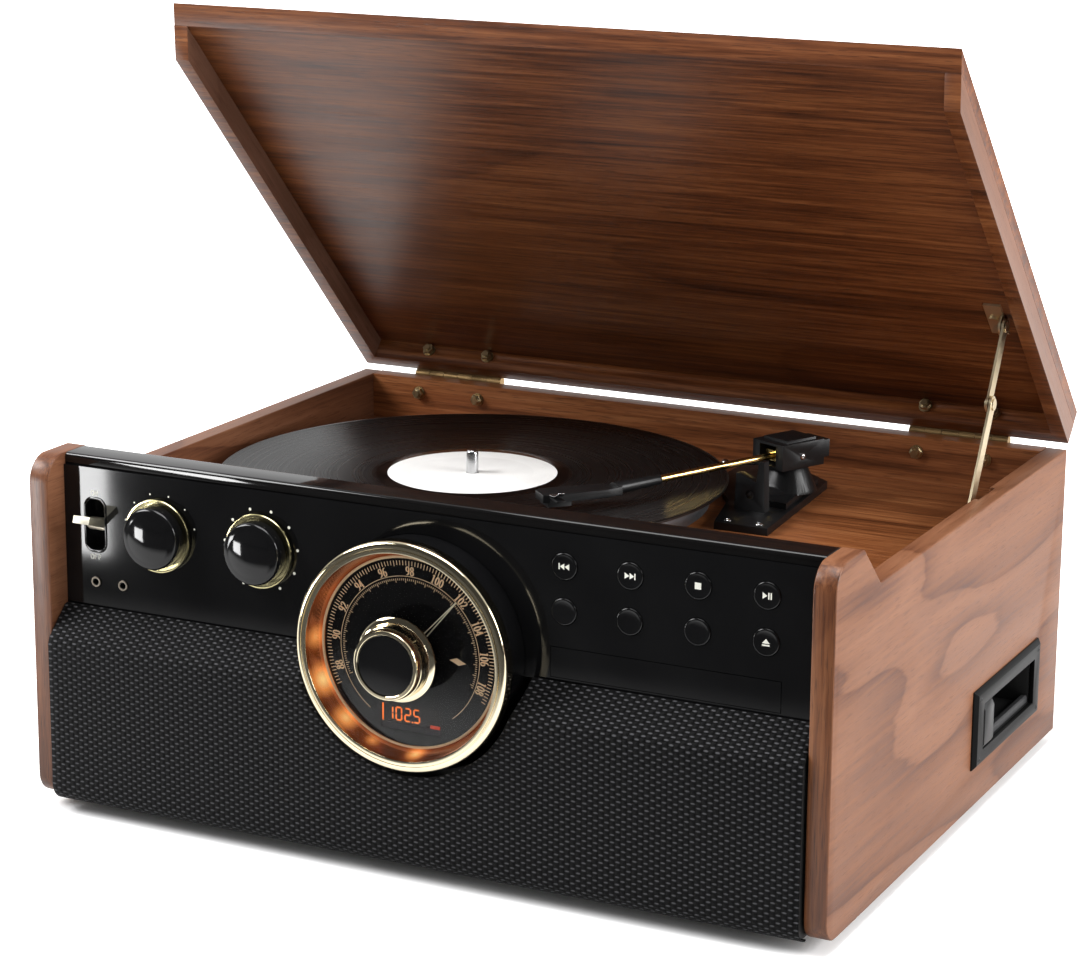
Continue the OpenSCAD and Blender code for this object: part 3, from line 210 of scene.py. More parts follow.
def arc(cx, cy, r, a0, a1, n):
    """n + 1 points of a circle's arc, angles in degrees."""
    a = np.radians(np.linspace(a0, a1, n + 1))
    return np.stack([cx + r * np.cos(a), cy + r * np.sin(a)], -1)


def plate(name, outline, low, high, body, material, degrees=30):
    """A flat outline of (x, z) points in mm pushed along y from low to high."""
    outline = np.asarray(outline, float)
    n = len(outline)
    points = np.stack([np.tile(outline[:, 0], 2), np.repeat([low, high], n), np.tile(outline[:, 1], 2)], -1)
    faces = [tuple(f) for f in grid_faces(2, n, wrap=True)]
    faces += [tuple(range(n)), tuple(range(2 * n - 1, n - 1, -1))]
    piece = new_piece(name, at(points), faces, body, material)
    close_up(piece)
    return sharpen(piece, degrees)


def softened(node, material, width=0.5, segments=2, smooth_angle=28):
    """A copy of a CAD node, its loose triangles merged and its flat faces joined, that
    stands for the node. A width in mm gives its edges a narrow rounded bevel; without one
    they stay crisp."""
    source = NODES[node]
    bm = bmesh.new()
    bm.from_mesh(source.data)
    bmesh.ops.remove_doubles(bm, verts=bm.verts, dist=2e-6)
    bmesh.ops.dissolve_limit(bm, angle_limit=math.radians(0.6), verts=bm.verts, edges=bm.edges)
    mesh = bpy.data.meshes.new(node + "_finished")
    bm.to_mesh(mesh)
    bm.free()
    piece = bpy.data.objects.new(node + "_finished", mesh)
    bpy.context.scene.collection.objects.link(piece)
    mesh.materials.clear()
    mesh.materials.append(material)
    mesh.shade_smooth()
    if width:
        bevel = piece.modifiers.new("soft_edge", "BEVEL")
        bevel.width = width * MM
        bevel.segments = segments
        bevel.limit_method = "ANGLE"
        bevel.angle_limit = math.radians(smooth_angle)
        bevel.harden_normals = True
        bevel.use_clamp_overlap = True
    else:
        sharpen(piece, smooth_angle)
    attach(piece, body_of(node))
    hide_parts(node)
    return piece


def thicken(sheet, thickness, offset=-1.0):
    """Gives a sheet a wall in metres, on the side of its faces that offset names."""
    wall = sheet.modifiers.new("thickness", "SOLIDIFY")
    wall.thickness = thickness
    wall.offset = offset


def stands_for(piece, slot, *nodes):
    """Hides the CAD nodes that a new piece replaces, if any; slot is not used."""
    for node in nodes:
        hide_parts(node)
    return piece


def dress(material, *nodes):
    """Gives CAD nodes that keep their own mesh a finished material."""
    for node in nodes:
        slots = NODES[node].data.materials
        slots.clear()
        slots.append(material)


print("helpers ready")

# %% [markdown]
# ## Stage and light
# A pale floor carries the soft shadow. The camera sees it brighter than the light rays
# do, so the background goes white without more light. Black gloss shows whatever stands
# opposite, so glossy rays find a darker room, and the softboxes put the highlights in.

# %% Build the stage
def node_tree(material):
    """The material's tree, emptied, with its own output node."""
    material.use_nodes = True
    tree = material.node_tree
    tree.nodes.clear()
    out = tree.nodes.new("ShaderNodeOutputMaterial")
    return tree, out


def feed(tree, value, socket):
    """Links a socket to an input, or sets the input to a plain value."""
    if hasattr(value, "is_linked"):
        tree.links.new(value, socket)
    elif value is not None:
        socket.default_value = value


def sums(tree, operation, a, b=None, c=None, clamp=False):
    """A Math node over sockets or numbers; gives its output socket."""
    node = tree.nodes.new("ShaderNodeMath")
    node.operation = operation
    node.use_clamp = clamp
    for i, value in enumerate((a, b, c)):
        feed(tree, value, node.inputs[i])
    return node.outputs[0]


def vectors(tree, operation, a, b=None, scale=None):
    """A Vector Math node over sockets or triples; gives its output socket."""
    node = tree.nodes.new("ShaderNodeVectorMath")
    node.operation = operation
    feed(tree, a, node.inputs[0])
    feed(tree, b, node.inputs[1])
    if scale is not None:
        feed(tree, scale, node.inputs["Scale"])
    one = operation in ("LENGTH", "DOT_PRODUCT", "DISTANCE")
    return node.outputs["Value" if one else "Vector"]


def blend(tree, factor, a, b):
    """Mixes two colours by a factor socket or number; gives the colour socket."""
    node = tree.nodes.new("ShaderNodeMix")
    node.data_type = "RGBA"
    for name, value in (("Factor", factor), ("A", a), ("B", b)):
        feed(tree, value, next(s for s in node.inputs if s.name == name and s.enabled))
    return next(s for s in node.outputs if s.enabled)


def ramp(tree, value, *stops):
    """A Color Ramp from (position, colour or grey) stops; gives its colour socket."""
    node = tree.nodes.new("ShaderNodeValToRGB")
    elements = node.color_ramp.elements
    while len(elements) > 1:
        elements.remove(elements[-1])
    for i, (position, colour) in enumerate(stops):
        element = elements[0] if i == 0 else elements.new(position)
        element.position = position
        element.color = colour if isinstance(colour, tuple) else (colour, colour, colour, 1)
    tree.links.new(value, node.inputs[0])
    return node.outputs[0]


def srgb(r, g, b):
    """An sRGB colour from 0 to 255 as linear RGBA."""
    c = np.array([r, g, b]) / 255
    c = np.where(c <= 0.04045, c / 12.92, ((c + 0.055) / 1.055) ** 2.4)
    return (float(c[0]), float(c[1]), float(c[2]), 1.0)


def room_tones(tree, place, dark_to, light_from, light, ahead):
    """Grey 0.5 for diffuse rays; glossy rays find it dark in front and light behind, over
    (y + 1) / 2 of the place."""
    rays = tree.nodes.new("ShaderNodeLightPath").outputs
    depth = sums(tree, "MULTIPLY_ADD", vectors(tree, "DOT_PRODUCT", place, (0, 1, 0)), 0.5, 0.5)
    mirrored = ramp(tree, depth, (dark_to, 0.05), (light_from, light))
    seen = blend(tree, rays["Is Glossy Ray"], (0.5, 0.5, 0.5, 1), mirrored)
    return blend(tree, rays["Is Camera Ray"], seen, ahead)


FLOOR_SIZE, FLOOR_CUTS = 9.0, 25
floor_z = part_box("feet")[0].z
side = np.linspace(-FLOOR_SIZE, FLOOR_SIZE, FLOOR_CUTS)
gx, gy = np.meshgrid(side, side)
floor_mesh = bpy.data.meshes.new("floor")
floor_mesh.from_pydata(np.stack([gx, gy, np.full_like(gx, floor_z)], -1).reshape(-1, 3).tolist(), [],
                       grid_faces(FLOOR_CUTS, FLOOR_CUTS).tolist())
floor = bpy.data.objects.new("floor", floor_mesh)
bpy.context.scene.collection.objects.link(floor)

floor_paint = bpy.data.materials.new("floor_paint")
tree, out = node_tree(floor_paint)
shader = tree.nodes.new("ShaderNodeBsdfPrincipled")
place = tree.nodes.new("ShaderNodeTexCoord").outputs["Object"]
away = sums(tree, "MULTIPLY_ADD", vectors(tree, "LENGTH", place), 0.9, 0.9)
white = vectors(tree, "SCALE", (1, 1, 1), scale=away)
tree.links.new(room_tones(tree, place, 0.235, 0.29, 0.85, white), shader.inputs["Base Color"])
shader.inputs["Roughness"].default_value = 0.9
shader.inputs["Specular IOR Level"].default_value = 0.0
tree.links.new(shader.outputs[0], out.inputs["Surface"])
floor_mesh.materials.append(floor_paint)

world = bpy.data.worlds.new("room")
bpy.context.scene.world = world
world.use_nodes = True
tree = world.node_tree
tree.nodes.clear()
out = tree.nodes.new("ShaderNodeOutputWorld")
sky = tree.nodes.new("ShaderNodeBackground")
direction = tree.nodes.new("ShaderNodeTexCoord").outputs["Generated"]
tree.links.new(room_tones(tree, direction, 0.3, 0.62, 0.9, (1.0, 1.0, 1.0, 1)), sky.inputs["Color"])
tree.links.new(sky.outputs[0], out.inputs["Surface"])


def softbox(name, place, aim, width, height, power):
    """A rectangular area light at a place in cabinet mm, aimed at a point in cabinet mm."""
    lamp = bpy.data.lights.new(name, "AREA")
    lamp.shape = "RECTANGLE"
    lamp.size, lamp.size_y = width, height
    lamp.energy = power
    box = bpy.data.objects.new(name, lamp)
    bpy.context.scene.collection.objects.link(box)
    p, q = Vector(at(place)[0]), Vector(at(aim)[0])
    box.location = p
    box.rotation_euler = (q - p).to_track_quat("-Z", "Y").to_euler()
    return box


softbox("key_light", (-1800, -700, 1600), (0, 150, 150), 1.3, 1.0, 62)
softbox("side_light", (2300, 500, 900), (150, 200, 120), 1.6, 1.2, 70)
card = softbox("reflector_card", (-605, -400, 75), (-605, 0, 75), 0.24, 0.15, 3.0)
card.visible_camera = False
card.visible_diffuse = False
softbox("top_light", (100, 0, 2200), (0, 200, 150), 1.6, 1.2, 40)
bpy.context.scene.view_settings.view_transform = "Standard"
print("floor at", round(floor_z, 4), "softboxes", 4)

# %% [markdown]
# ## Shader groups
# Each group answers one question, such as where the dark growth lines of a veneer run or
# how high a thread of the cloth stands. It gives out plain colours, masks and heights;
# the shader itself stays in each material.

# %% Make the shader groups
def group(name, inputs, outputs):
    """A node group with named inputs {name: (kind, value)} and outputs {name: kind}."""
    tree = bpy.data.node_groups.new(name, "ShaderNodeTree")
    for label, (kind, value) in inputs.items():
        socket = tree.interface.new_socket(label, in_out="INPUT", socket_type="NodeSocket" + kind)
        if value is not None:
            socket.default_value = value
    for label, kind in outputs.items():
        tree.interface.new_socket(label, in_out="OUTPUT", socket_type="NodeSocket" + kind)
    return tree, tree.nodes.new("NodeGroupInput").outputs, tree.nodes.new("NodeGroupOutput").inputs


def noise(tree, vector, scale, detail=2.0, roughness=0.5, distortion=0.0):
    """A Noise Texture's value, from 0 to 1."""
    node = tree.nodes.new("ShaderNodeTexNoise")
    for name, value in (("Vector", vector), ("Scale", scale), ("Detail", detail), ("Roughness", roughness),
                        ("Distortion", distortion)):
        feed(tree, value, node.inputs[name])
    return node.outputs[0]


def veneer_group():
    """Sliced veneer. Along the board x grows slowly, across it y and z grow fast, so
    contour lines of one stretched noise field become the long cathedral figure:
    line = fract(rings * field(x * slow, y, z)). Finer streaks and pores lie over it."""
    tree, given, result = group(
        "veneer_pattern",
        {"Position": ("Vector", None), "Seed": ("Float", 0.0), "Rings": ("Float", 13.0),
         "Figure": ("Float", 0.55), "Streaks": ("Float", 1.0), "Dark": ("Color", None),
         "Middle": ("Color", None), "Light": ("Color", None)},
        {"Color": "Color", "Roughness": "Float", "Height": "Float"})
    shift = vectors(tree, "SCALE", (0.37, 0.61, 0.23), scale=given["Seed"])
    spot = vectors(tree, "ADD", given["Position"], shift)
    slow = noise(tree, vectors(tree, "MULTIPLY", spot, (2.1, 9.5, 9.5)), 1.0, 1.6, 0.42, 0.25)
    wobble = noise(tree, vectors(tree, "MULTIPLY", spot, (9.0, 160.0, 160.0)), 1.0, 2.0, 0.5)
    field = sums(tree, "MULTIPLY_ADD", wobble, 0.022, slow)
    line = sums(tree, "FRACT", sums(tree, "MULTIPLY", field, given["Rings"]))
    rings = ramp(tree, line, (0.0, 0.75), (0.3, 1.0), (0.62, 0.62), (0.86, 0.2), (0.95, 0.0), (1.0, 0.75))
    band = noise(tree, vectors(tree, "MULTIPLY", spot, (1.7, 62.0, 62.0)), 1.0, 4.0, 0.65)
    streak = noise(tree, vectors(tree, "MULTIPLY", spot, (11.0, 360.0, 360.0)), 1.0, 4.0, 0.65)
    pore_field = noise(tree, vectors(tree, "MULTIPLY", spot, (75.0, 1500.0, 1500.0)), 1.0, 1.0, 0.5)
    pores = ramp(tree, pore_field, (0.33, 1.0), (0.41, 0.0))
    tone = sums(tree, "MULTIPLY_ADD", sums(tree, "SUBTRACT", rings, 0.5), given["Figure"], 0.5)
    lines = sums(tree, "MULTIPLY_ADD", sums(tree, "SUBTRACT", band, 0.5), 1.1,
                 sums(tree, "MULTIPLY", sums(tree, "SUBTRACT", streak, 0.5), 1.7))
    tone = sums(tree, "MULTIPLY_ADD", lines, given["Streaks"], tone, clamp=True)
    low = blend(tree, ramp(tree, tone, (0.0, 0.0), (0.5, 1.0)), given["Dark"], given["Middle"])
    colour = blend(tree, ramp(tree, tone, (0.5, 0.0), (1.0, 1.0)), low, given["Light"])
    colour = blend(tree, sums(tree, "MULTIPLY", pores, 0.45), colour, given["Dark"])
    tree.links.new(colour, result["Color"])
    tree.links.new(sums(tree, "MULTIPLY_ADD", streak, 0.22, 0.27), result["Roughness"])
    tree.links.new(sums(tree, "MULTIPLY_ADD", pores, -0.8, streak), result["Height"])
    return tree


def weave_group():
    """Plain weave over (u, v) in metres. In cell (i, j) of pitch (pu, pv) the weft lies on
    top where i + j is even and the warp where it is odd. With f the place in the cell from
    -1/2 to 1/2, the weft's height is cos(pi fv) (0.55 + 0.45 cos(pi fu)), the warp's the
    same with u and v exchanged."""
    tree, given, result = group(
        "plain_weave",
        {"UV": ("Vector", None), "Pitch U": ("Float", 0.0032), "Pitch V": ("Float", 0.00206)},
        {"Weft": "Float", "Gap": "Float", "Height": "Float", "Fuzz": "Float"})
    split = tree.nodes.new("ShaderNodeSeparateXYZ")
    warp_noise = noise(tree, given["UV"], 70.0, 2.0)
    jitter = vectors(tree, "SCALE", (0.0006, 0.0004, 0.0), scale=sums(tree, "SUBTRACT", warp_noise, 0.5))
    tree.links.new(vectors(tree, "ADD", given["UV"], jitter), split.inputs[0])
    cells = []
    for axis, pitch in (("X", "Pitch U"), ("Y", "Pitch V")):
        count = sums(tree, "DIVIDE", split.outputs[axis], given[pitch])
        whole = sums(tree, "FLOOR", count)
        place = sums(tree, "SUBTRACT", sums(tree, "SUBTRACT", count, whole), 0.5)
        cells.append((whole, sums(tree, "COSINE", sums(tree, "MULTIPLY", place, math.pi))))
    (i, cu), (j, cv) = cells
    odd = sums(tree, "FLOORED_MODULO", sums(tree, "ADD", i, j), 2.0)
    weft = sums(tree, "MULTIPLY", cv, sums(tree, "MULTIPLY_ADD", cu, 0.45, 0.55))
    warp = sums(tree, "MULTIPLY", cu, sums(tree, "MULTIPLY_ADD", cv, 0.45, 0.55))
    pick = tree.nodes.new("ShaderNodeMix")
    tree.links.new(odd, pick.inputs["Factor"])
    tree.links.new(weft, pick.inputs["A"])
    tree.links.new(warp, pick.inputs["B"])
    height = pick.outputs["Result"]
    fibre = noise(tree, vectors(tree, "MULTIPLY", given["UV"], (2500.0, 9000.0, 1.0)), 1.0, 2.0)
    tree.links.new(sums(tree, "SUBTRACT", 1.0, odd), result["Weft"])
    tree.links.new(ramp(tree, height, (0.12, 1.0), (0.55, 0.0)), result["Gap"])
    tree.links.new(sums(tree, "MULTIPLY_ADD", fibre, 0.25, height), result["Height"])
    tree.links.new(fibre, result["Fuzz"])
    return tree


def groove_group():
    """Record grooves about a centre: r is the distance from the spindle. The spiral is
    sin(2 pi r / pitch), far too fine to see one by one, so it only tilts the light; slower
    noise over r alone makes the bands of loud and quiet music."""
    tree, given, result = group(
        "record_grooves",
        {"Position": ("Vector", None), "Centre": ("Vector", None), "Pitch": ("Float", 0.00045)},
        {"Radius": "Float", "Bands": "Float", "Height": "Float"})
    from_centre = vectors(tree, "SUBTRACT", given["Position"], given["Centre"])
    out = vectors(tree, "MULTIPLY", from_centre, (1, 1, 0))
    radius = vectors(tree, "LENGTH", out)
    lane = tree.nodes.new("ShaderNodeCombineXYZ")
    tree.links.new(radius, lane.inputs["X"])
    bands = noise(tree, lane.outputs[0], 420.0, 3.0, 0.7)
    lap = sums(tree, "DIVIDE", radius, given["Pitch"])
    turns = sums(tree, "SINE", sums(tree, "MULTIPLY", lap, 2 * math.pi))
    tree.links.new(radius, result["Radius"])
    tree.links.new(bands, result["Bands"])
    tree.links.new(sums(tree, "MULTIPLY_ADD", turns, 0.35, bands), result["Height"])
    return tree


def surface_group():
    """Moulded or cast surface: a coarse mottle for uneven gloss, a fine grain for the
    texture, and dust that settles in the light."""
    tree, given, result = group(
        "surface_detail",
        {"Position": ("Vector", None), "Mottle Scale": ("Float", 25.0), "Grain Scale": ("Float", 1800.0)},
        {"Mottle": "Float", "Grain": "Float", "Dust": "Float"})
    specks = noise(tree, given["Position"], 900.0, 1.0)
    tree.links.new(noise(tree, given["Position"], given["Mottle Scale"], 3.0), result["Mottle"])
    tree.links.new(noise(tree, given["Position"], given["Grain Scale"]), result["Grain"])
    tree.links.new(ramp(tree, specks, (0.7, 0.0), (0.78, 1.0)), result["Dust"])
    return tree


def brushing_group():
    """Metal marks: long fine scratches along x after the vector is stretched, with a slow
    tarnish that darkens the colour."""
    tree, given, result = group(
        "metal_marks",
        {"Position": ("Vector", None), "Stretch": ("Vector", (60.0, 2600.0, 2600.0)),
         "Tarnish Scale": ("Float", 60.0)},
        {"Scratches": "Float", "Tarnish": "Float"})
    lines = noise(tree, vectors(tree, "MULTIPLY", given["Position"], given["Stretch"]), 1.0, 3.0, 0.6)
    tree.links.new(lines, result["Scratches"])
    tree.links.new(noise(tree, given["Position"], given["Tarnish Scale"], 4.0), result["Tarnish"])
    return tree


VENEER = veneer_group()
WEAVE = weave_group()
GROOVES = groove_group()
SURFACE = surface_group()
MARKS = brushing_group()
print("groups", [g.name for g in (VENEER, WEAVE, GROOVES, SURFACE, MARKS)])

# %% [markdown]
# ## Materials
# One function per kind of surface. Object coordinates are the frame's own metres, so a
# grain or a weave keeps its real scale on every piece; a Mapping node turns them where the
# grain runs up a panel or along the tilted lid.

# %% Mix the materials
LID_TILT = math.radians(45)
SKIN = {}


def begin(name, turn=(0, 0, 0)):
    """A new material with a Principled shader and turned Object coordinates in metres."""
    material = bpy.data.materials.new(name)
    tree, out = node_tree(material)
    shader = tree.nodes.new("ShaderNodeBsdfPrincipled")
    tree.links.new(shader.outputs[0], out.inputs["Surface"])
    place = tree.nodes.new("ShaderNodeTexCoord").outputs["Object"]
    if any(turn):
        mapping = tree.nodes.new("ShaderNodeMapping")
        mapping.inputs["Rotation"].default_value = turn
        tree.links.new(place, mapping.inputs["Vector"])
        place = mapping.outputs[0]
    SKIN[name] = material
    return tree, shader, place


def use(tree, library, **given):
    """Places a node group and wires or sets its named inputs."""
    node = tree.nodes.new("ShaderNodeGroup")
    node.node_tree = library
    for name, value in given.items():
        feed(tree, value, node.inputs[name.replace("_", " ")])
    return node.outputs


def bump(tree, shader, height, distance):
    """Feeds a height, in units of distance metres, to the shader's normal."""
    node = tree.nodes.new("ShaderNodeBump")
    node.inputs["Distance"].default_value = distance
    node.inputs["Strength"].default_value = 1.0
    tree.links.new(height, node.inputs["Height"])
    tree.links.new(node.outputs[0], shader.inputs["Normal"])


def veneer(name, turn, seed, colours, rings=13.0, figure=0.55, streaks=1.0, gloss=0.5):
    """Stained and satin-lacquered veneer, its grain along x once the coordinates turn."""
    tree, shader, place = begin(name, turn)
    dark, middle, light = (srgb(*colour) for colour in colours)
    wood = use(tree, VENEER, Position=place, Seed=seed, Rings=rings, Figure=figure, Streaks=streaks,
               Dark=dark, Middle=middle, Light=light)
    tree.links.new(wood["Color"], shader.inputs["Base Color"])
    tree.links.new(wood["Roughness"], shader.inputs["Roughness"])
    shader.inputs["Specular IOR Level"].default_value = gloss
    bump(tree, shader, wood["Height"], 0.00003)


def plastic(name, colour, roughness, level=0.5, grain=0.00001, grain_scale=1800.0, spread=0.12, dust=0.008):
    """Moulded plastic: even colour, uneven gloss, fine grain and a little dust."""
    tree, shader, place = begin(name)
    detail = use(tree, SURFACE, Position=place, Grain_Scale=grain_scale)
    base = srgb(*colour)
    lighter = tuple(min(1.0, c * 1.5 + 0.004) for c in base[:3]) + (1.0,)
    tree.links.new(blend(tree, detail["Dust"], blend(tree, detail["Mottle"], base, lighter),
                         tuple(min(1.0, c + dust) for c in base[:3]) + (1.0,)), shader.inputs["Base Color"])
    rough = sums(tree, "MULTIPLY_ADD", detail["Mottle"], spread, roughness - spread / 2, clamp=True)
    tree.links.new(rough, shader.inputs["Roughness"])
    shader.inputs["Specular IOR Level"].default_value = level
    bump(tree, shader, detail["Grain"], grain)


def metal(name, colour, roughness, stretch=(60.0, 2600.0, 2600.0), tarnish=0.25, depth=0.000004, dull=0.5):
    """Metal with long fine scratches and a tarnish that darkens and roughens it."""
    tree, shader, place = begin(name)
    marks = use(tree, MARKS, Position=place, Stretch=stretch)
    base = srgb(*colour)
    old = tuple(c * dull for c in base[:3]) + (1.0,)
    amount = sums(tree, "MULTIPLY", ramp(tree, marks["Tarnish"], (0.4, 0.0), (0.75, 1.0)), tarnish)
    tree.links.new(blend(tree, amount, base, old), shader.inputs["Base Color"])
    rough = sums(tree, "MULTIPLY_ADD", marks["Scratches"], roughness * 0.8, roughness * 0.6)
    tree.links.new(sums(tree, "MULTIPLY_ADD", amount, 0.2, rough), shader.inputs["Roughness"])
    shader.inputs["Metallic"].default_value = 1.0
    bump(tree, shader, marks["Scratches"], depth)


# Three tones of each stain, from the dark growth lines to the light early wood. The two sets for the side faces are
# made lighter and pinker to carry a painted sheen.
WALNUT = (46, 22, 10), (98, 55, 29), (134, 84, 50)
DECK = (66, 32, 13), (134, 78, 42), (172, 112, 68)
SHADED = (48, 21, 7), (104, 56, 26), (142, 86, 46)
# Painted sheen: the side panels' tones are the walnut made lighter, pinker and flatter, the same on both sides.
SIDE_PAINTED_SHEEN = (84, 50, 35), (116, 75, 52), (134, 91, 66)
# Painted sheen as well: the lid's side faces take lighter, pinker tones than its inner face.
LID_SIDE_PAINTED_SHEEN = (96, 62, 46), (122, 86, 68), (140, 102, 84)
PLAIN = (60, 40, 26), (98, 70, 48), (122, 92, 66)
FLAT, UPRIGHT, INTO = (0, 0, 0), (0, math.pi / 2, 0), (0, 0, math.pi / 2)
veneer("veneer_side", INTO, 3.0, SIDE_PAINTED_SHEEN, rings=10.0, figure=0.62, streaks=0.75, gloss=0.14)
veneer("veneer_edge", UPRIGHT, 5.0, WALNUT, rings=9.0, figure=0.2, gloss=0.4)
veneer("veneer_back", FLAT, 8.0, DECK, rings=8.0, figure=0.14)
veneer("veneer_deck", FLAT, 11.0, DECK, rings=10.0, figure=0.16)
veneer("veneer_lid", (LID_TILT, 0, 0), 15.0, SHADED, rings=9.0, figure=0.22, streaks=1.1, gloss=0.4)
veneer("veneer_lid_side", (LID_TILT, 0, math.pi / 2), 21.0, LID_SIDE_PAINTED_SHEEN, rings=8.0, figure=0.3, streaks=0.6, gloss=0.3)
veneer("bottom_board", FLAT, 27.0, PLAIN)
EVEN = (400.0, 400.0, 400.0)
plastic("gloss_black", (8, 8, 9), 0.07, level=0.32, grain=0.000002, grain_scale=160.0, spread=0.05, dust=0.001)
plastic("piano_cap", (9, 8, 8), 0.06, level=0.36, grain=0.000002, grain_scale=160.0, spread=0.04, dust=0.001)
plastic("satin_black", (11, 11, 12), 0.36, level=0.3, dust=0.004)
plastic("bezel_grey", (6, 6, 6), 0.32, level=0.06, dust=0.001)
plastic("ledge_grey", (46, 46, 47), 0.45, level=0.25)
plastic("matt_black", (15, 15, 15), 0.55)
plastic("grey_plastic", (52, 52, 54), 0.4)
plastic("rubber", (24, 24, 25), 0.75, level=0.3, grain=0.00003, grain_scale=900.0)
plastic("cone_paper", (30, 29, 28), 0.85, level=0.2, grain=0.00005, grain_scale=1400.0)
plastic("print_cream", (236, 222, 190), 0.5, level=0.3)
plastic("print_white", (222, 222, 206), 0.5, level=0.3)
plastic("label_paper", (206, 205, 203), 0.6, level=0.2, grain=0.00002, grain_scale=2600.0, spread=0.1)
plastic("board_green", (22, 66, 38), 0.4)
plastic("felt", (22, 22, 23), 0.95, level=0.1, grain=0.0002, grain_scale=2400.0)
metal("gold_chrome", (232, 219, 188), 0.08, stretch=EVEN, tarnish=0.12)
metal("skirt_gold", (206, 196, 150), 0.16, stretch=(500.0, 500.0, 500.0), tarnish=0.25)
metal("brass", (214, 190, 132), 0.16, tarnish=0.35)
metal("arm_gold", (226, 196, 128), 0.2, stretch=EVEN, tarnish=0.1)
metal("nut_metal", (190, 170, 132), 0.38, stretch=EVEN, tarnish=0.5)
metal("antique_brass", (176, 146, 102), 0.46, tarnish=0.8, depth=0.00001)
metal("stay_steel", (214, 198, 166), 0.4, stretch=(2600.0, 60.0, 2600.0), tarnish=0.2, depth=0.000002)
metal("lever_metal", (240, 234, 214), 0.42, stretch=EVEN, tarnish=0.05)
metal("steel", (205, 206, 208), 0.2)
metal("dark_steel", (92, 86, 78), 0.34, tarnish=0.5)
metal("cast_metal", (120, 121, 124), 0.42, stretch=(900.0, 900.0, 900.0), depth=0.00002)
metal("sheet_steel", (168, 170, 172), 0.3)
print("materials", len(SKIN))

# %% [markdown]
# ### Cloth, record, glass and lamps
# The cloth takes its weave from its UV map, measured along the sheet. The record's gloss
# is anisotropic: its tangent runs round the disc, as the grooves do. Lamps are a glow in
# the material, so that they light nothing but the piece that shows them.

# %% Mix the special materials
def cloth_material():
    """Black warp and dark weft. Each weft thread is pale grey where it stands highest, a painted highlight, and the
    gaps between threads go near black, painted shade.
    """
    tree, shader, _ = begin("grille_cloth")
    uv = tree.nodes.new("ShaderNodeUVMap")
    uv.uv_map = "weave"
    weave = use(tree, WEAVE, UV=uv.outputs[0])
    # Painted highlight: the highest part of each weft thread is coloured pale grey.
    top = ramp(tree, weave["Height"], (0.72, 0.0), (1.1, 1.0))
    weft = blend(tree, top, srgb(12, 12, 13), srgb(84, 84, 87))
    thread = blend(tree, weave["Weft"], srgb(9, 9, 10), weft)
    thread = blend(tree, sums(tree, "MULTIPLY", weave["Fuzz"], 0.3), thread, srgb(15, 15, 16))
    # Painted shade: where the weave sinks between threads the colour goes near black.
    tree.links.new(blend(tree, weave["Gap"], thread, srgb(2, 2, 2)), shader.inputs["Base Color"])
    shader.inputs["Roughness"].default_value = 0.62
    shader.inputs["Specular IOR Level"].default_value = 0.08
    shader.inputs["Sheen Weight"].default_value = 0.015
    bump(tree, shader, weave["Height"], 0.0005)


def vinyl_material(centre, label_edge):
    """Black pressing: grooves outside the label, a smooth lead-out beside it. The highlight
    is stretched along the grooves: the tangent is at right angles to the radius."""
    tree, shader, place = begin("vinyl")
    disc = use(tree, GROOVES, Position=place, Centre=tuple(centre))
    shader.inputs["Base Color"].default_value = srgb(9, 8, 8)
    reach = 0.16
    grooved = ramp(tree, sums(tree, "MULTIPLY", disc["Radius"], 1.0 / reach),
                   ((label_edge + 0.006) / reach, 0.0), ((label_edge + 0.009) / reach, 1.0))
    rough = sums(tree, "MULTIPLY_ADD", disc["Bands"], 0.16, 0.2)
    tree.links.new(sums(tree, "MULTIPLY_ADD", grooved, sums(tree, "SUBTRACT", rough, 0.1), 0.1),
                   shader.inputs["Roughness"])
    shader.inputs["Anisotropic"].default_value = 0.8
    out = vectors(tree, "MULTIPLY", vectors(tree, "SUBTRACT", place, tuple(centre)), (1, 1, 0))
    tree.links.new(vectors(tree, "CROSS_PRODUCT", (0, 0, 1), out), shader.inputs["Tangent"])
    bump(tree, shader, sums(tree, "MULTIPLY", disc["Height"], grooved), 0.000012)


def glass_material():
    """Thin clear window: mostly see-through, with a glancing reflection and a little dust."""
    tree, shader, place = begin("clear_glass")
    detail = use(tree, SURFACE, Position=place, Mottle_Scale=12.0)
    fresnel = tree.nodes.new("ShaderNodeFresnel")
    fresnel.inputs["IOR"].default_value = 1.45
    shader.inputs["Base Color"].default_value = (0.02, 0.02, 0.02, 1)
    tree.links.new(sums(tree, "MULTIPLY_ADD", detail["Mottle"], 0.03, 0.02), shader.inputs["Roughness"])
    cover = sums(tree, "MULTIPLY_ADD", fresnel.outputs[0], 0.8, 0.015)
    cover = sums(tree, "MULTIPLY_ADD", detail["Dust"], 0.02, cover, clamp=True)
    tree.links.new(cover, shader.inputs["Alpha"])


def lamp_material(name, colour, glow, power, roughness=0.22):
    """Lit piece: its own colour plus a warm glow that a slow noise makes uneven."""
    tree, shader, place = begin(name)
    detail = use(tree, SURFACE, Position=place, Mottle_Scale=45.0)
    shader.inputs["Base Color"].default_value = srgb(*colour)
    rough = sums(tree, "MULTIPLY_ADD", detail["Mottle"], 0.15, roughness - 0.07)
    tree.links.new(rough, shader.inputs["Roughness"])
    bright = srgb(*glow)
    faint = tuple(c * 0.4 for c in bright[:3]) + (1.0,)
    tree.links.new(blend(tree, detail["Mottle"], faint, bright), shader.inputs["Emission Color"])
    shader.inputs["Emission Strength"].default_value = power


# Hidden lamps: the angle round the funnel in degrees, how far their light reaches in mm,
# and their power.
LAMPS = [(178, 15, 0.6), (203, 17, 1.0), (228, 15, 0.8), (248, 11, 0.5), (150, 18, 0.2),
         (-84, 11, 0.9), (58, 18, 0.3), (32, 18, 0.4), (6, 18, 0.4), (-18, 16, 0.3)]


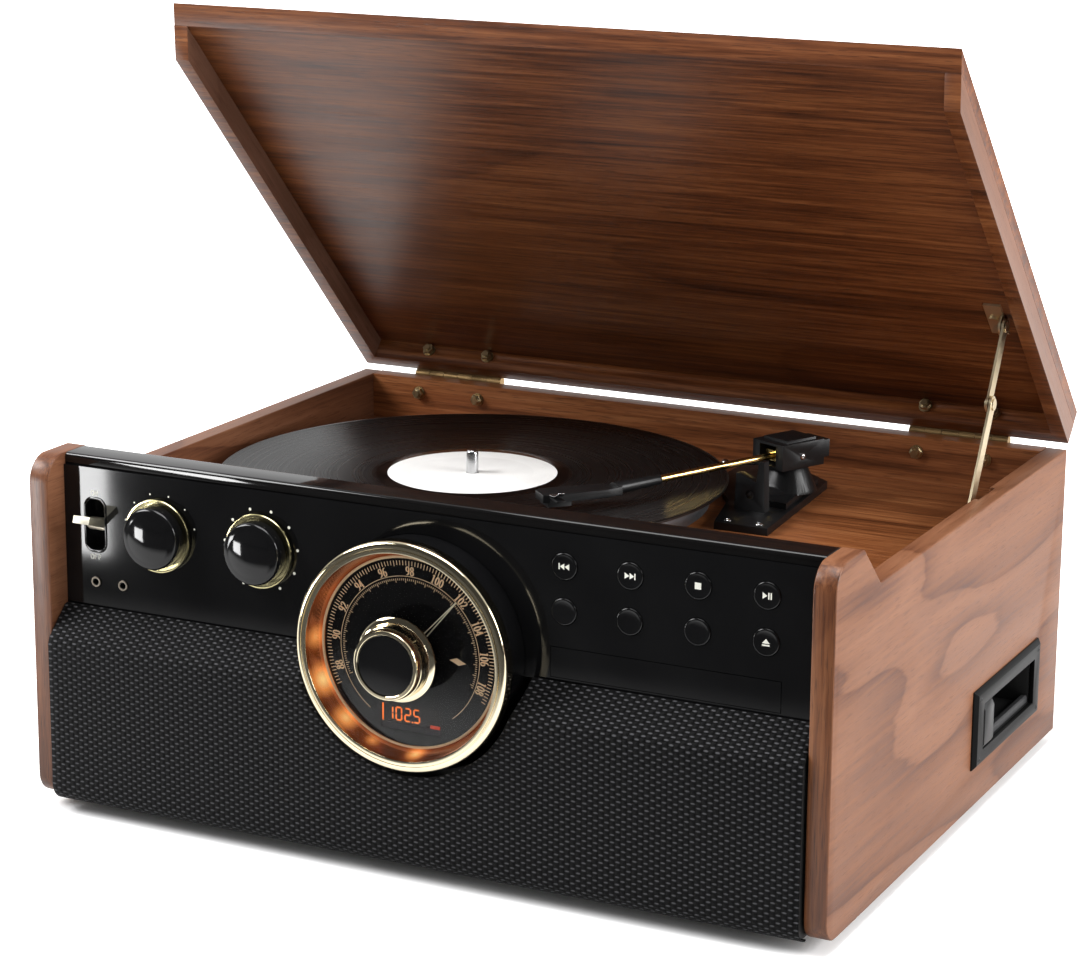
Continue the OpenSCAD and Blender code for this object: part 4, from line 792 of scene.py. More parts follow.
def funnel_material(centre, radius):
    """Copper funnel lit by small lamps behind the bezel. Each lamp adds a pool of light,
    power * max(0, 1 - distance / reach) squared, round its own point on the funnel."""
    tree, shader, place = begin("lit_copper")
    detail = use(tree, SURFACE, Position=place, Mottle_Scale=70.0)
    shader.inputs["Base Color"].default_value = srgb(188, 138, 112)
    shader.inputs["Metallic"].default_value = 1.0
    tree.links.new(sums(tree, "MULTIPLY_ADD", detail["Mottle"], 0.16, 0.12), shader.inputs["Roughness"])
    glow = sums(tree, "MULTIPLY_ADD", detail["Mottle"], 0.12, 0.0)
    for angle, reach, power in LAMPS:
        a = math.radians(angle)
        lamp = (centre[0] + radius * math.cos(a), centre[1], centre[2] + radius * math.sin(a))
        near = vectors(tree, "DISTANCE", place, lamp)
        pool = sums(tree, "MULTIPLY_ADD", near, -1.0 / (reach * MM), 1.0, clamp=True)
        glow = sums(tree, "ADD", sums(tree, "MULTIPLY", sums(tree, "MULTIPLY", pool, pool), power), glow)
    shine = ramp(tree, glow, (0.0, srgb(20, 8, 3)), (0.2, srgb(110, 52, 20)),
                 (0.5, srgb(224, 138, 70)), (0.95, srgb(255, 206, 130)))
    tree.links.new(shine, shader.inputs["Emission Color"])
    shader.inputs["Emission Strength"].default_value = 1.0


record_low, record_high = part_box("vinyl_record")
DISC_AT = (record_low + record_high) / 2
cloth_material()
vinyl_material((DISC_AT.x, DISC_AT.y, 0.0), 0.050)
glass_material()
ring_low, ring_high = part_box("dial_light_ring")
funnel_material((ring_low + ring_high) / 2, 0.0555)
lamp_material("amber_segments", (90, 40, 10), (255, 122, 40), 1.6)
# The dial's print is no lamp: its faint warm glow is painted light that brightens the figures and the rim line.
lamp_material("print_tan", (232, 206, 170), (255, 206, 150), 0.16, roughness=0.5)
lamp_material("red_lamp", (120, 40, 20), (255, 70, 20), 0.5)
lamp_material("dark_display", (14, 8, 5), (60, 22, 6), 0.05)
print("materials", len(SKIN))

# %% [markdown]
# ## First coat
# Every CAD node gets its finished material. The nodes that show their edges are given
# softened copies after this, and what needs a finer form is built anew.

# %% Dress the CAD nodes
COAT = {
    "veneer_side": ["side_panel_left", "side_panel_right"],
    "veneer_back": ["back_panel"],
    "veneer_deck": ["deck_panel"],
    "veneer_lid": ["lid_panel", "lid_rims"],
    "bottom_board": ["bottom_panel"],
    "gloss_black": ["fascia_plate", "dial_drum", "dial_face", "skip_back_button", "skip_forward_button",
                    "stop_button", "play_button", "program_button", "repeat_button", "pairing_button",
                    "tray_button", "selector_knob", "volume_knob", "power_switch_plate", "cd_tray"],
    "piano_cap": ["fascia_top_cap"],
    "satin_black": ["cassette_bezel", "cassette_key", "tonearm_base", "tonearm_turret", "headshell",
                    "rear_sockets", "jack_sockets"],
    "matt_black": ["grille_frame", "cassette_housing"],
    "grille_cloth": ["grille_cloth"],
    "cone_paper": ["speaker_drivers"],
    "gold_chrome": ["dial_bezel", "tuning_knob", "power_lever"],
    "brass": ["dial_pointer", "tonearm_tube", "motor_pulley"],
    "lit_copper": ["dial_light_ring"],
    "clear_glass": ["dial_glass"],
    "dark_display": ["display_window"],
    "sheet_steel": ["cd_housing"],
    "board_green": ["circuit_boards"],
    "cast_metal": ["platter"],
    "felt": ["slip_mat"],
    "vinyl": ["vinyl_record"],
    "steel": ["center_spindle", "turntable_motor", "cue_lever"],
    "rubber": ["feet", "drive_belt"],
    "antique_brass": ["hinge_cabinet_leaves", "hinge_lid_leaves"],
    "dark_steel": ["cabinet_fasteners", "lid_fasteners"],
    "stay_steel": ["stay_bracket", "stay_upper_arm", "stay_lower_arm"],
}
for skin, nodes in COAT.items():
    dress(SKIN[skin], *nodes)
missing = set(NODES) - {n for nodes in COAT.values() for n in nodes}
print("dressed", sum(map(len, COAT.values())), "missing", missing)

# %% [markdown]
# ## Panels with soft edges
# A saw-cut edge is never razor sharp. The panels are copies of their CAD meshes with a
# narrow rounded bevel; the back panel and the disc tray keep crisp edges. Veneer wraps the
# front edges of the sides with its grain upright, so the faces that look forward take a
# second material.

# %% Soften the panels
def second_skin(piece, material, pick):
    """Gives the faces whose normal and centre satisfy pick(normals, centres) a second material."""
    mesh = piece.data
    mesh.materials.append(material)
    count = len(mesh.polygons)
    normals, centres = np.zeros(count * 3), np.zeros(count * 3)
    mesh.polygons.foreach_get("normal", normals)
    mesh.polygons.foreach_get("center", centres)
    chosen = pick(normals.reshape(-1, 3), centres.reshape(-1, 3))
    mesh.polygons.foreach_set("material_index", chosen.astype(np.int32) * (len(mesh.materials) - 1))
    return piece


def soften_all(rows):
    """Softened copies from rows of (node, material, bevel width in mm, bevel segments)."""
    for node, skin, width, segments in rows:
        softened(node, SKIN[skin], width, segments)
    return len(rows)


for name in ("side_panel_left", "side_panel_right"):
    panel = softened(name, SKIN["veneer_side"], 0.9, 3)
    second_skin(panel, SKIN["veneer_edge"], lambda n, c: (n[:, 1] < -0.5) & (np.abs(n[:, 0]) < 0.5))
soften_all([("back_panel", "veneer_back", 0, 0), ("lid_panel", "veneer_lid", 0.5, 2)])
rims = softened("lid_rims", SKIN["veneer_lid"], 0.5, 2)
# The lid's side faces take the veneer with the painted sheen.
second_skin(rims, SKIN["veneer_lid_side"], lambda n, c: np.abs(n[:, 0]) > 0.7)
count = soften_all([
    ("fascia_top_cap", "piano_cap", 0.2, 2), ("cd_tray", "gloss_black", 0, 0),
    ("cassette_bezel", "bezel_grey", 0.3, 2), ("cassette_key", "satin_black", 0.4, 2),
    ("power_lever", "lever_metal", 0.45, 3)])
print("panels and trims softened", 5 + count)

# %% [markdown]
# ## Grille cloth
# The cloth is one sheet bent over the brow, the bend and the heel of its frame. Its side
# line is arcs joined by straight runs; where the dial bites into it, the sheet ends on a
# circle: edge(z) = dial_x +- sqrt(bite^2 - (z - dial_z)^2). The UV map holds metres along
# x and along the line, so the weave keeps its pitch round every bend.

# %% Weave the grille cloth
drum_low, drum_high = box_mm("dial_drum")
DIAL = (drum_low + drum_high)[[0, 2]] / 2
bezel_low, bezel_high = box_mm("dial_bezel")
BEZEL_R = (bezel_high - bezel_low)[0] / 2
BITE = BEZEL_R + 3.6
cloth_low, cloth_high = box_mm("grille_cloth")
FRONT = cloth_low[1]
CLOTH_HALF, TOP = cloth_high[[0, 2]]
LEAN = 133.4


def grille_line():
    """The cloth's side line as (y, z) points in mm, from the brow down to under the heel."""
    bend_r, bend_z, brow_r, heel_r = 8.0, 92.0, 5.0, 10.5
    brow_z = TOP - brow_r
    lean = math.radians(LEAN)
    brow_y = FRONT + bend_r + ((brow_z - bend_z) * math.sin(lean) - bend_r + brow_r) / -math.cos(lean)
    brow = arc(brow_y, brow_z, brow_r, 90, LEAN, 8)
    bend = arc(FRONT + bend_r, bend_z, bend_r, LEAN, 180, 10)
    heel = arc(FRONT + heel_r, heel_r, heel_r, 180, 270, 12)
    slope = brow[-1] + (bend[0] - brow[-1]) * np.linspace(0, 1, 9)[1:-1, None]
    down = DIAL[1] - BITE * np.cos(np.linspace(math.acos((DIAL[1] - bend_z) / BITE), 0, 22))[1:]
    low = np.linspace(down[-1], heel_r, 10)[1:-1]
    flat = np.stack([np.full(len(down) + len(low), FRONT), np.concatenate([down, low])], -1)
    return np.concatenate([brow, slope, bend, flat, heel])


line = grille_line()
run = np.concatenate([[0.0], np.cumsum(np.linalg.norm(np.diff(line, axis=0), axis=1))])
reach = np.sqrt(np.maximum(0.0, BITE ** 2 - np.minimum(BITE, np.abs(line[:, 1] - DIAL[1])) ** 2))
COLS = 44
share = np.linspace(0, 1, COLS + 1)
halves, uvs, faces = [], [], []
for side in (-1, 1):
    x = side * CLOTH_HALF + (DIAL[0] + side * reach[:, None] - side * CLOTH_HALF) * share[None]
    y, z, s = (np.broadcast_to(v[:, None], x.shape) for v in (line[:, 0], line[:, 1], run))
    halves.append(np.stack([x, y, z], -1).reshape(-1, 3))
    uvs.append(np.stack([x, s], -1).reshape(-1, 2) * MM)
    faces.append(grid_faces(len(line), COLS + 1, flip=side > 0, first=len(faces) * len(line) * (COLS + 1)))
cloth = new_piece("grille_cloth_woven", at(np.concatenate(halves)), np.concatenate(faces), "cabinet",
                  SKIN["grille_cloth"])
layer = cloth.data.uv_layers.new(name="weave")
corner = np.zeros(len(cloth.data.loops), np.int32)
cloth.data.loops.foreach_get("vertex_index", corner)
layer.data.foreach_set("uv", np.concatenate(uvs)[corner].ravel())
bm = bmesh.new()
bm.from_mesh(cloth.data)
bmesh.ops.remove_doubles(bm, verts=bm.verts, dist=1e-6)
bmesh.ops.dissolve_degenerate(bm, dist=1e-7, edges=bm.edges)
bm.to_mesh(cloth.data)
area = sum(f.calc_area() for f in bm.faces)
bm.free()
thicken(cloth, 0.0007)
stands_for(cloth, "grille_cloth", "grille_cloth")

# %% [markdown]
# ## Turning the dial's metal
# The dial is a stack on one shaft: a black drum, a copper funnel lit by hidden lamps, a
# printed face, a pointer, a glass and a rolled bezel. Each round piece is a profile
# turned about the shaft, so its highlights run round it without facets.

# %% Turn the bezel, the funnel and the rim
FORWARD = (0, -1, 0)


def front_of(node):
    """How far forward a CAD node reaches, as y in cabinet mm."""
    return box_mm(node)[0][1]


def facing(name, profile, centre, body, skin, segments=96, degrees=30):
    """A form turned about a forward axis through (x, z) from a profile of (radius, y) in mm."""
    profile = np.asarray(profile, float) * (1, -1)
    return turned(name, profile, (centre[0], 0, centre[1]), FORWARD, body, SKIN[skin], segments, degrees)


def ring(name, outline, centre, skin, body="cabinet", degrees=30, segments=160):
    """A ring turned about a forward axis from a closed outline of (radius, y) points in mm."""
    outline = np.asarray(outline, float)
    return facing(name, np.concatenate([outline, outline[:1]]), centre, body, skin, segments, degrees)


GLASS_Y = front_of("dial_glass") - 0.4
FACE_Y = front_of("dial_face")
DRUM_R = (drum_high - drum_low)[0] / 2
drum_y = front_of("dial_drum")
roll = arc(BEZEL_R - 2.8, drum_y - 4, 2.6, 0, -96, 12)
bezel = ring("dial_bezel_rolled", np.concatenate([
    [[DRUM_R + 0.05, drum_y + 3], [DRUM_R + 1.5, drum_y + 3], [BEZEL_R - 0.1, drum_y + 1.2],
     [BEZEL_R, drum_y - 0.4], [BEZEL_R - 0.2, drum_y - 3.4]], roll,
    [[59.7, GLASS_Y + 0.02], [59.5, GLASS_Y + 0.5], [59.1, GLASS_Y + 0.5], [58.9, GLASS_Y - 0.08],
     [58.4, GLASS_Y - 0.1], [56.9, GLASS_Y + 0.1], [56.8, GLASS_Y + 0.3], [57.9, GLASS_Y + 0.3],
     [57.9, GLASS_Y + 2.4], [DRUM_R - 2.4, drum_y - 0.05], [DRUM_R + 0.05, drum_y - 0.05]]]),
    DIAL, "gold_chrome", degrees=38)
stands_for(bezel, "gold", "dial_bezel")

share = np.linspace(0, 1, 14)
slope = np.stack([53.4 + 3.0 * share ** 0.75, FACE_Y - 0.3 - 9.6 * share], -1)
funnel = ring("dial_light_funnel", np.concatenate([
    slope, [[57.5, FACE_Y - 9.9], [54.2, FACE_Y + 0.2], [58.2, FACE_Y + 0.2], [58.2, FACE_Y + 1.6],
            [51.9, FACE_Y + 1.6], [51.9, FACE_Y + 0.3], [53.2, FACE_Y + 0.1]]]),
    DIAL, "lit_copper", degrees=40)
stands_for(funnel, "copper", "dial_light_ring")
# The rim line takes the print's material, with its painted glow.
rim = ring("dial_rim_line", arc(52.35, FACE_Y - 0.7, 0.72, 0, 345, 15), DIAL, "print_tan", degrees=60, segments=128)
stands_for(rim, "copper")
drum = ring("dial_drum_turned", [
    [DRUM_R - 2.4, drum_y], [DRUM_R - 0.4, drum_y], [DRUM_R, drum_y + 0.4], [DRUM_R, 24.0],
    [6.6, 24.0], [6.6, 21.0], [49.5, 21.0], [49.5, FACE_Y + 1.7], [DRUM_R - 2.4, FACE_Y + 1.7]],
    DIAL, "gloss_black")
stands_for(drum, "gloss_black", "dial_drum")
print("dial centre", DIAL.round(2), "face at", round(FACE_Y, 2), "glass at", round(GLASS_Y, 2))

# %% [markdown]
# ## Printing
# Ink stands a few hundredths of a millimetre proud. Bars, dots and arrows are outlines
# pushed forward by that much. Numbers are drawn with a broad nib held level: the line is
# thick where the pen runs up or down and thin where it runs across, which is what gives
# the dial its old-fashioned figures.

# %% Printing helpers
INK = 0.07


def bars(starts, ends, width):
    """Outlines (n, 4, 2) of straight bars: corner = end point +- width/2 times the normal."""
    a, b = np.atleast_2d(np.asarray(starts, float)), np.atleast_2d(np.asarray(ends, float))
    d = (b - a) / np.linalg.norm(b - a, axis=1)[:, None]
    n = np.stack([-d[:, 1], d[:, 0]], -1) * np.asarray(width, float).reshape(-1, 1) / 2
    return np.stack([a + n, a - n, b - n, b + n], 1)


def dots(centres, radius, sides=14):
    """Outlines (n, sides, 2) of round dots: centre + radius * (cos a, sin a)."""
    a = np.arange(sides) * 2 * np.pi / sides
    return np.asarray(centres, float)[:, None] + radius * np.stack([np.cos(a), np.sin(a)], -1)[None]


def printed(name, outlines, level, body, material, strokes=(), ink=INK):
    """One print: flat outlines of (x, z) points and strokes of (path, widths), standing from
    just behind level, a y in mm, to ink in front of it. A stroke's section is a flat box
    of its width, carried along the path."""
    points, faces, first = [], [], 0
    for outline in outlines:
        n = len(outline)
        y = np.repeat([level + 0.02, level - ink], n)
        points.append(np.stack([np.tile(outline[:, 0], 2), y, np.tile(outline[:, 1], 2)], -1))
        faces += [tuple(f) for f in grid_faces(2, n, wrap=True, first=first)]
        faces += [tuple(range(first, first + n)), tuple(range(first + 2 * n - 1, first + n - 1, -1))]
        first += 2 * n
    for path, widths in strokes:
        n = len(path)
        along = np.gradient(path, axis=0)
        along = along / np.linalg.norm(along, axis=1)[:, None]
        half = np.stack([-along[:, 1], along[:, 0]], -1) * np.broadcast_to(widths, n)[:, None] / 2
        flat = np.stack([path + half, path - half, path - half, path + half], 1)
        y = np.broadcast_to([level - ink, level - ink, level + 0.02, level + 0.02], (n, 4))
        points.append(np.stack([flat[..., 0], y, flat[..., 1]], -1).reshape(-1, 3))
        faces += [tuple(f) for f in grid_faces(n, 4, wrap=True, first=first)]
        faces += [(first + 3, first + 2, first + 1, first), tuple(first + 4 * n - 4 + k for k in range(4))]
        first += 4 * n
    piece = new_piece(name, at(np.concatenate(points)), faces, body, material, smooth=False)
    bm = bmesh.new()
    bm.from_mesh(piece.data)
    bmesh.ops.recalc_face_normals(bm, faces=bm.faces)
    bm.to_mesh(piece.data)
    bm.free()
    return piece


def oval(cx, cz, rx, rz, a0, a1, n=18):
    """Points on an upright ellipse's arc, angles in degrees."""
    a = np.radians(np.linspace(a0, a1, n + 1))
    return np.stack([cx + rx * np.cos(a), cz + rz * np.sin(a)], -1)


def curve(*controls, n=14):
    """Points on one Bezier curve: the sum of controls weighted by Bernstein polynomials."""
    p = np.asarray(controls, float)
    t = np.linspace(0, 1, n + 1)[:, None]
    k = len(p) - 1
    return sum(math.comb(k, i) * t ** i * (1 - t) ** (k - i) * p[i] for i in range(k + 1))


FIGURES = {
    "0": [oval(0.25, 0.5, 0.17, 0.455, 0, 360, 28)],
    "1": [curve((0.27, 0.0), (0.27, 1.0), n=2), curve((0.12, 0.03), (0.42, 0.03), n=2),
          curve((0.1, 0.84), (0.27, 0.96), n=2)],
    "2": [np.concatenate([curve((0.1, 0.73), (0.09, 0.96), (0.42, 1.06), (0.42, 0.72)),
                          curve((0.42, 0.72), (0.42, 0.48), (0.14, 0.3), (0.07, 0.04))[1:]]),
          curve((0.05, 0.05), (0.44, 0.05), n=2), curve((0.43, 0.05), (0.46, 0.2), n=2)],
    "4": [curve((0.33, 0.0), (0.33, 1.0), n=2), curve((0.33, 0.97), (0.04, 0.28), n=2),
          curve((0.02, 0.28), (0.47, 0.28), n=2), curve((0.2, 0.03), (0.46, 0.03), n=2)],
    "6": [oval(0.26, 0.29, 0.165, 0.26, 0, 360, 24),
          curve((0.1, 0.3), (0.08, 0.8), (0.22, 0.98), (0.4, 0.93))],
    "8": [oval(0.25, 0.735, 0.14, 0.225, 0, 360, 22), oval(0.25, 0.265, 0.17, 0.235, 0, 360, 22)],
    "9": [oval(0.24, 0.71, 0.165, 0.26, 0, 360, 24),
          curve((0.4, 0.7), (0.42, 0.2), (0.28, 0.02), (0.1, 0.07))],
}


def number(text, middle, angle, height, thick=0.17, thin=0.06, advance=0.53):
    """Strokes of a number whose tops point away from the dial's centre: a glyph point (g, h)
    goes to middle + (g - half the width) * right + (h - 1/2) * up, times the height. Width is
    thin + (thick - thin) * |share of the direction that runs up|."""
    a = math.radians(angle)
    up, right = np.array([math.cos(a), math.sin(a)]), np.array([math.sin(a), -math.cos(a)])
    made = []
    for k, figure in enumerate(text):
        for path in FIGURES[figure]:
            along = np.gradient(path, axis=0)
            rise = np.abs(along[:, 1]) / np.linalg.norm(along, axis=1)
            flat = path - (len(text) * advance / 2 - k * advance, 0.5)
            place = np.asarray(middle) + height * (flat[:, :1] * right + flat[:, 1:] * up)
            made.append((place, height * (thin + (thick - thin) * rise)))
    return made


def polar(radius, degrees):
    """Points at a radius and angles round the dial's centre."""
    a = np.radians(np.asarray(degrees, float))
    return DIAL + np.stack([np.cos(a), np.sin(a)], -1) * np.asarray(radius, float)[..., None]


print("figures", sorted(FIGURES))

# %% Print the dial's face
numerals = []
for k, value in enumerate(range(88, 109, 2)):
    theta = 197 - 21.5 * k
    numerals += number(str(value), polar(44.6, theta), theta, 4.9)
marks = np.arange(208.5, -27.6, -2.15)
long = (np.arange(len(marks)) % 5 == 0)
ticks = bars(polar(47.6 - 0.5 * long, marks), polar(np.full(len(marks), 50.1), marks), 0.42)
fine = np.arange(205.0, -22.0, -1.72)
major = (np.arange(len(fine)) % 5 == 0)
inner = bars(polar(39.3 - 1.1 * major, fine), polar(np.full(len(fine), 40.4), fine), 0.34)
ring_line = [(polar(np.full(91, 41.7), np.linspace(235, -52, 91)), 0.34)]
cx, cz = polar(28.9, -2)
lozenge = np.array([[cx - 4.9, cz + 0.5], [cx + 0.6, cz - 2.0], [cx + 4.9, cz - 0.5], [cx - 0.6, cz + 2.0]])
face_print = printed("dial_print", list(ticks) + list(inner) + [lozenge], FACE_Y, "cabinet",
                     SKIN["print_tan"], strokes=numerals + ring_line)
stands_for(face_print, "cream_plastic")
print("dial print", len(ticks), "outer ticks", len(inner), "inner ticks")

# %% [markdown]
# ## Display
# The window is a small lit panel behind the face. Its figures are seven bars each: a list
# of bar numbers says which of them glow.

# %% Light the display
window_low, window_high = box_mm("display_window")
(LEFT, WINDOW_Y, FOOT), (RIGHT, _, HEAD) = window_low, window_high
SEGMENTS = np.array([[[0, 2], [1, 2]], [[1, 2], [1, 1]], [[1, 1], [1, 0]], [[0, 0], [1, 0]],
                     [[0, 0], [0, 1]], [[0, 1], [0, 2]], [[0, 1], [1, 1]]], float)
GLOWING = {"1": [1, 2], "0": [0, 1, 2, 3, 4, 5], "2": [0, 1, 6, 4, 3], "5": [0, 5, 6, 2, 3]}
size, advance = np.array([3.3, 3.5]), 5.4
lit = []
for k, figure in enumerate("1025"):
    corner = np.array([LEFT + 3.6 + k * advance, FOOT + 5.6])
    ends = corner + SEGMENTS[GLOWING[figure]] * size
    gap = (ends[:, 1] - ends[:, 0]) * 0.09
    lit += list(bars(ends[:, 0] + gap, ends[:, 1] - gap, 0.85))
lit += list(dots([[LEFT + 3.6 + 2.83 * advance, FOOT + 5.4]], 0.5))
for name, shapes, skin in (
        ("display_figures", lit, "amber_segments"),
        ("display_edge_glow", bars([[LEFT + 1.0, FOOT + 4.3]], [[LEFT + 1.0, HEAD - 0.4]], 0.9), "amber_segments"),
        ("display_strip", bars([[LEFT + 0.4, FOOT + 2.1]], [[RIGHT - 0.4, FOOT + 2.1]], 3.4), "grey_plastic"),
        ("display_lamp", bars([[RIGHT - 6.6, FOOT + 4.6]], [[RIGHT - 0.8, FOOT + 4.6]], 2.0), "red_lamp")):
    stands_for(printed(name, shapes, WINDOW_Y, "cabinet", SKIN[skin]), "display")
print("display bars", len(lit))

# %% [markdown]
# ## Pointer and tuning knob
# Two wires leave the hub side by side and meet in one tip. The knob is polished metal with
# a black disc let into its front; its steps catch a line of light each.

# %% Make the pointer and the tuning knob
NEEDLE_TURN = 48
a = math.radians(NEEDLE_TURN)
out_way, side_way = np.array([math.cos(a), math.sin(a)]), np.array([-math.sin(a), math.cos(a)])
roots = [DIAL + 5.5 * out_way + k * 1.35 * side_way for k in (-1, 1)]
tips = [DIAL + 42.8 * out_way + k * 0.12 * side_way for k in (-1, 1)]
needle = printed("pointer_wires", bars(roots, tips, 0.55), FACE_Y - 1.2, "tuning", SKIN["print_cream"],
                 ink=0.5)
stands_for(needle, "gold", "dial_pointer")
hub = ring("pointer_hub", [[3.6, FACE_Y - 3.0], [5.6, FACE_Y - 3.0], [6.0, FACE_Y - 2.6], [6.0, FACE_Y - 1.0],
                           [3.6, FACE_Y - 1.0]], DIAL, "gold_chrome", "tuning", segments=64)
stands_for(hub, "gold", "dial_pointer")

knob_low, knob_high = box_mm("tuning_knob")
TUNE_FRONT = knob_low[1]
TUNE_R = (knob_high - knob_low)[0] / 2
TUNE_BACK = GLASS_Y - 1.4
nose = TUNE_R - 4.5
tuning = facing("tuning_knob_turned", [
    [0, TUNE_FRONT + 1.0], [nose - 2.3, TUNE_FRONT + 1.0], [nose - 2.1, TUNE_FRONT + 0.25],
    [nose - 1.8, TUNE_FRONT], [nose - 0.6, TUNE_FRONT], [nose - 0.1, TUNE_FRONT + 0.25],
    [nose + 0.2, TUNE_FRONT + 0.8], [nose + 0.7, TUNE_FRONT + 3.6], [nose + 1.0, TUNE_FRONT + 3.8],
    [nose + 1.25, TUNE_FRONT + 7], [nose + 1.4, TUNE_BACK - 3.2], [nose + 1.8, TUNE_BACK - 2.4],
    [TUNE_R - 1.2, TUNE_BACK - 2.0], [TUNE_R - 0.2, TUNE_BACK - 1.2], [TUNE_R, TUNE_BACK - 0.7],
    [TUNE_R, TUNE_BACK], [3.5, TUNE_BACK], [3.5, 34.0], [0, 34.0]], DIAL, "tuning", "gold_chrome", 128, 26)
stands_for(tuning, "gold", "tuning_knob")
inlay = facing("tuning_knob_inlay", [
    [0, TUNE_FRONT + 0.25], [8, TUNE_FRONT + 0.32], [nose - 2.7, TUNE_FRONT + 0.55],
    [nose - 2.4, TUNE_FRONT + 0.75], [nose - 2.4, TUNE_FRONT + 1.1], [0, TUNE_FRONT + 1.1]],
    DIAL, "tuning", "gloss_black")
stands_for(inlay, "gloss_black")
print("knob radius", round(TUNE_R, 2), "front", round(TUNE_FRONT, 2))

# %% [markdown]
# ## Selector and volume
# A thin bright skirt lies against the front panel and a domed black cap stands on it. The
# panel round them is printed with the positions: plain dots, larger for the volume.

# %% Make the two knobs and the dots
PANEL_Y = front_of("fascia_plate")


def round_piece(node):
    """The (x, z) middle of a round CAD node, its radius, its front y and its back y, in mm."""
    low, high = box_mm(node)
    return (low + high)[[0, 2]] / 2, (high - low)[0] / 2, low[1], high[1]


def round_knob(node, body):
    """A knob in two turned pieces, the bright skirt with its shaft and the domed black cap."""
    middle, r, front, _ = round_piece(node)
    cap_r, skirt = r - 3.3, PANEL_Y - 3.2
    bright = facing(node + "_skirt", [
        [0, skirt + 0.2], [cap_r, skirt + 0.2], [cap_r + 0.3, skirt - 0.2], [r - 1.3, skirt - 0.3],
        [r - 0.9, skirt - 0.6], [r - 0.3, skirt - 0.55], [r, skirt - 0.1], [r, skirt + 1.0],
        [r - 0.4, PANEL_Y - 0.8], [3.0, PANEL_Y - 0.8], [3.0, 27.0], [0, 27.0]], middle, body, "skirt_gold")
    dome = np.concatenate([[[0, front]], arc(0, front + 42, 42, -86, -70.5, 8),
                           arc(cap_r - 2.6, front + 5.0, 2.6, -64, 0, 6),
                           [[cap_r, skirt - 0.9], [cap_r - 0.3, skirt - 0.5], [cap_r - 0.3, skirt + 0.3],
                            [0, skirt + 0.3]]])
    cap = facing(node + "_cap", dome, middle, body, "gloss_black", degrees=26)
    stands_for(bright, "gold", node)
    stands_for(cap, "gloss_black", node)
    return middle


def around(centre, radius, degrees):
    """Points on a circle round a knob."""
    a = np.radians(np.asarray(degrees, float))
    return centre + radius * np.stack([np.cos(a), np.sin(a)], -1)


SELECTOR = round_knob("selector_knob", "selector")
VOLUME = round_knob("volume_knob", "volume")
spots = list(dots(around(VOLUME, 23.2, np.linspace(-60, 240, 10)), 0.85))
spots += list(dots(around(SELECTOR, 23.4, np.linspace(15, 165, 6)), 0.5))
SWITCH_X = sum(corner[0] for corner in box_mm("power_switch_plate")) / 2


def letters(text, x, z, height=2.7, width=0.46):
    """Plain capitals for ON and OFF as strokes: a ring for O, bars for N and F."""
    shapes = {"O": [oval(0.5, 0.5, 0.42, 0.5, 0, 360, 20)],
              "N": [curve((0.1, 0), (0.1, 1), n=2), curve((0.1, 1), (0.8, 0), n=2),
                    curve((0.8, 0), (0.8, 1), n=2)],
              "F": [curve((0.15, 0), (0.15, 1), n=2), curve((0.1, 1), (0.75, 1), n=2),
                    curve((0.1, 0.52), (0.65, 0.52), n=2)]}
    made = []
    for k, letter in enumerate(text):
        shift = np.array([x + (k - len(text) / 2) * height * 0.95, z - height / 2])
        made += [(path * (height * 0.82, height) + shift, width) for path in shapes[letter]]
    return made


words = letters("ON", SWITCH_X, 178.4) + letters("OFF", SWITCH_X, 141.4)
panel_print = printed("panel_print", spots, PANEL_Y, "cabinet", SKIN["print_white"], strokes=words)
stands_for(panel_print, "cream_plastic")
print("selector", SELECTOR.round(1), "volume", VOLUME.round(1), "dots", len(spots))

# %% [markdown]
# ## Buttons
# Eight round keys with a narrow rounded edge that draws a thin arc of light. Five carry
# plain arrows and bars, printed as flat outlines that ride on their own key.

# %% Make the buttons and print them
KEYS = {"skip_back_button": "skip_back_key", "skip_forward_button": "skip_forward_key",
        "stop_button": "stop_key", "play_button": "play_key", "program_button": "program_key",
        "repeat_button": "repeat_key", "pairing_button": "pairing_key", "tray_button": "tray_key"}


def arrow(x, z, width, height):
    """A triangle outline whose flat side is at x and whose tip is at x + width."""
    return np.array([[x, z - height / 2], [x + width, z], [x, z + height / 2]])


def block(x, z, width, height):
    """A rectangle outline about (x, z)."""
    return np.array([[-0.5, -0.5], [0.5, -0.5], [0.5, 0.5], [-0.5, 0.5]]) * (width, height) + (x, z)


SYMBOLS = {
    "skip_back_button": [block(-3.5, 0, 0.8, 4.2), arrow(0.2, 0, -3.3, 4.2), arrow(3.7, 0, -3.4, 4.2)],
    "skip_forward_button": [block(3.5, 0, 0.8, 4.2), arrow(-0.2, 0, 3.3, 4.2), arrow(-3.7, 0, 3.4, 4.2)],
    "stop_button": [block(0, 0, 4.4, 4.4)],
    "play_button": [arrow(-3.0, 0, 3.2, 4.4), block(1.2, 0, 0.9, 4.4), block(2.8, 0, 0.9, 4.4)],
    "tray_button": [np.array([[-2.7, -0.7], [2.7, -0.7], [0, 2.4]]), block(0, -1.9, 5.2, 1.0)],
}
for node, body in KEYS.items():
    middle, r, y, back = round_piece(node)
    face_r = r - 1.52
    key = facing(node + "_moulded", np.concatenate([
        [[0, y + 0.25], [face_r - 2.2, y + 0.2], [face_r - 1.1, y + 0.05]],
        arc(face_r - 0.75, y + 0.75, 0.75, -90, 0, 5),
        [[face_r, PANEL_Y + 3.3], [r, PANEL_Y + 3.3], [r, back], [0, back]]]),
        middle, body, "gloss_black", 64, 24)
    stands_for(key, "gloss_black", node)
    if node in SYMBOLS:
        shapes = [0.8 * shape + middle for shape in SYMBOLS[node]]
        sign = printed(node.replace("button", "symbol"), shapes, y + 0.24, body, SKIN["print_white"], ink=0.1)
        stands_for(sign, "cream_plastic")
print("keys", len(KEYS), "symbols", len(SYMBOLS))

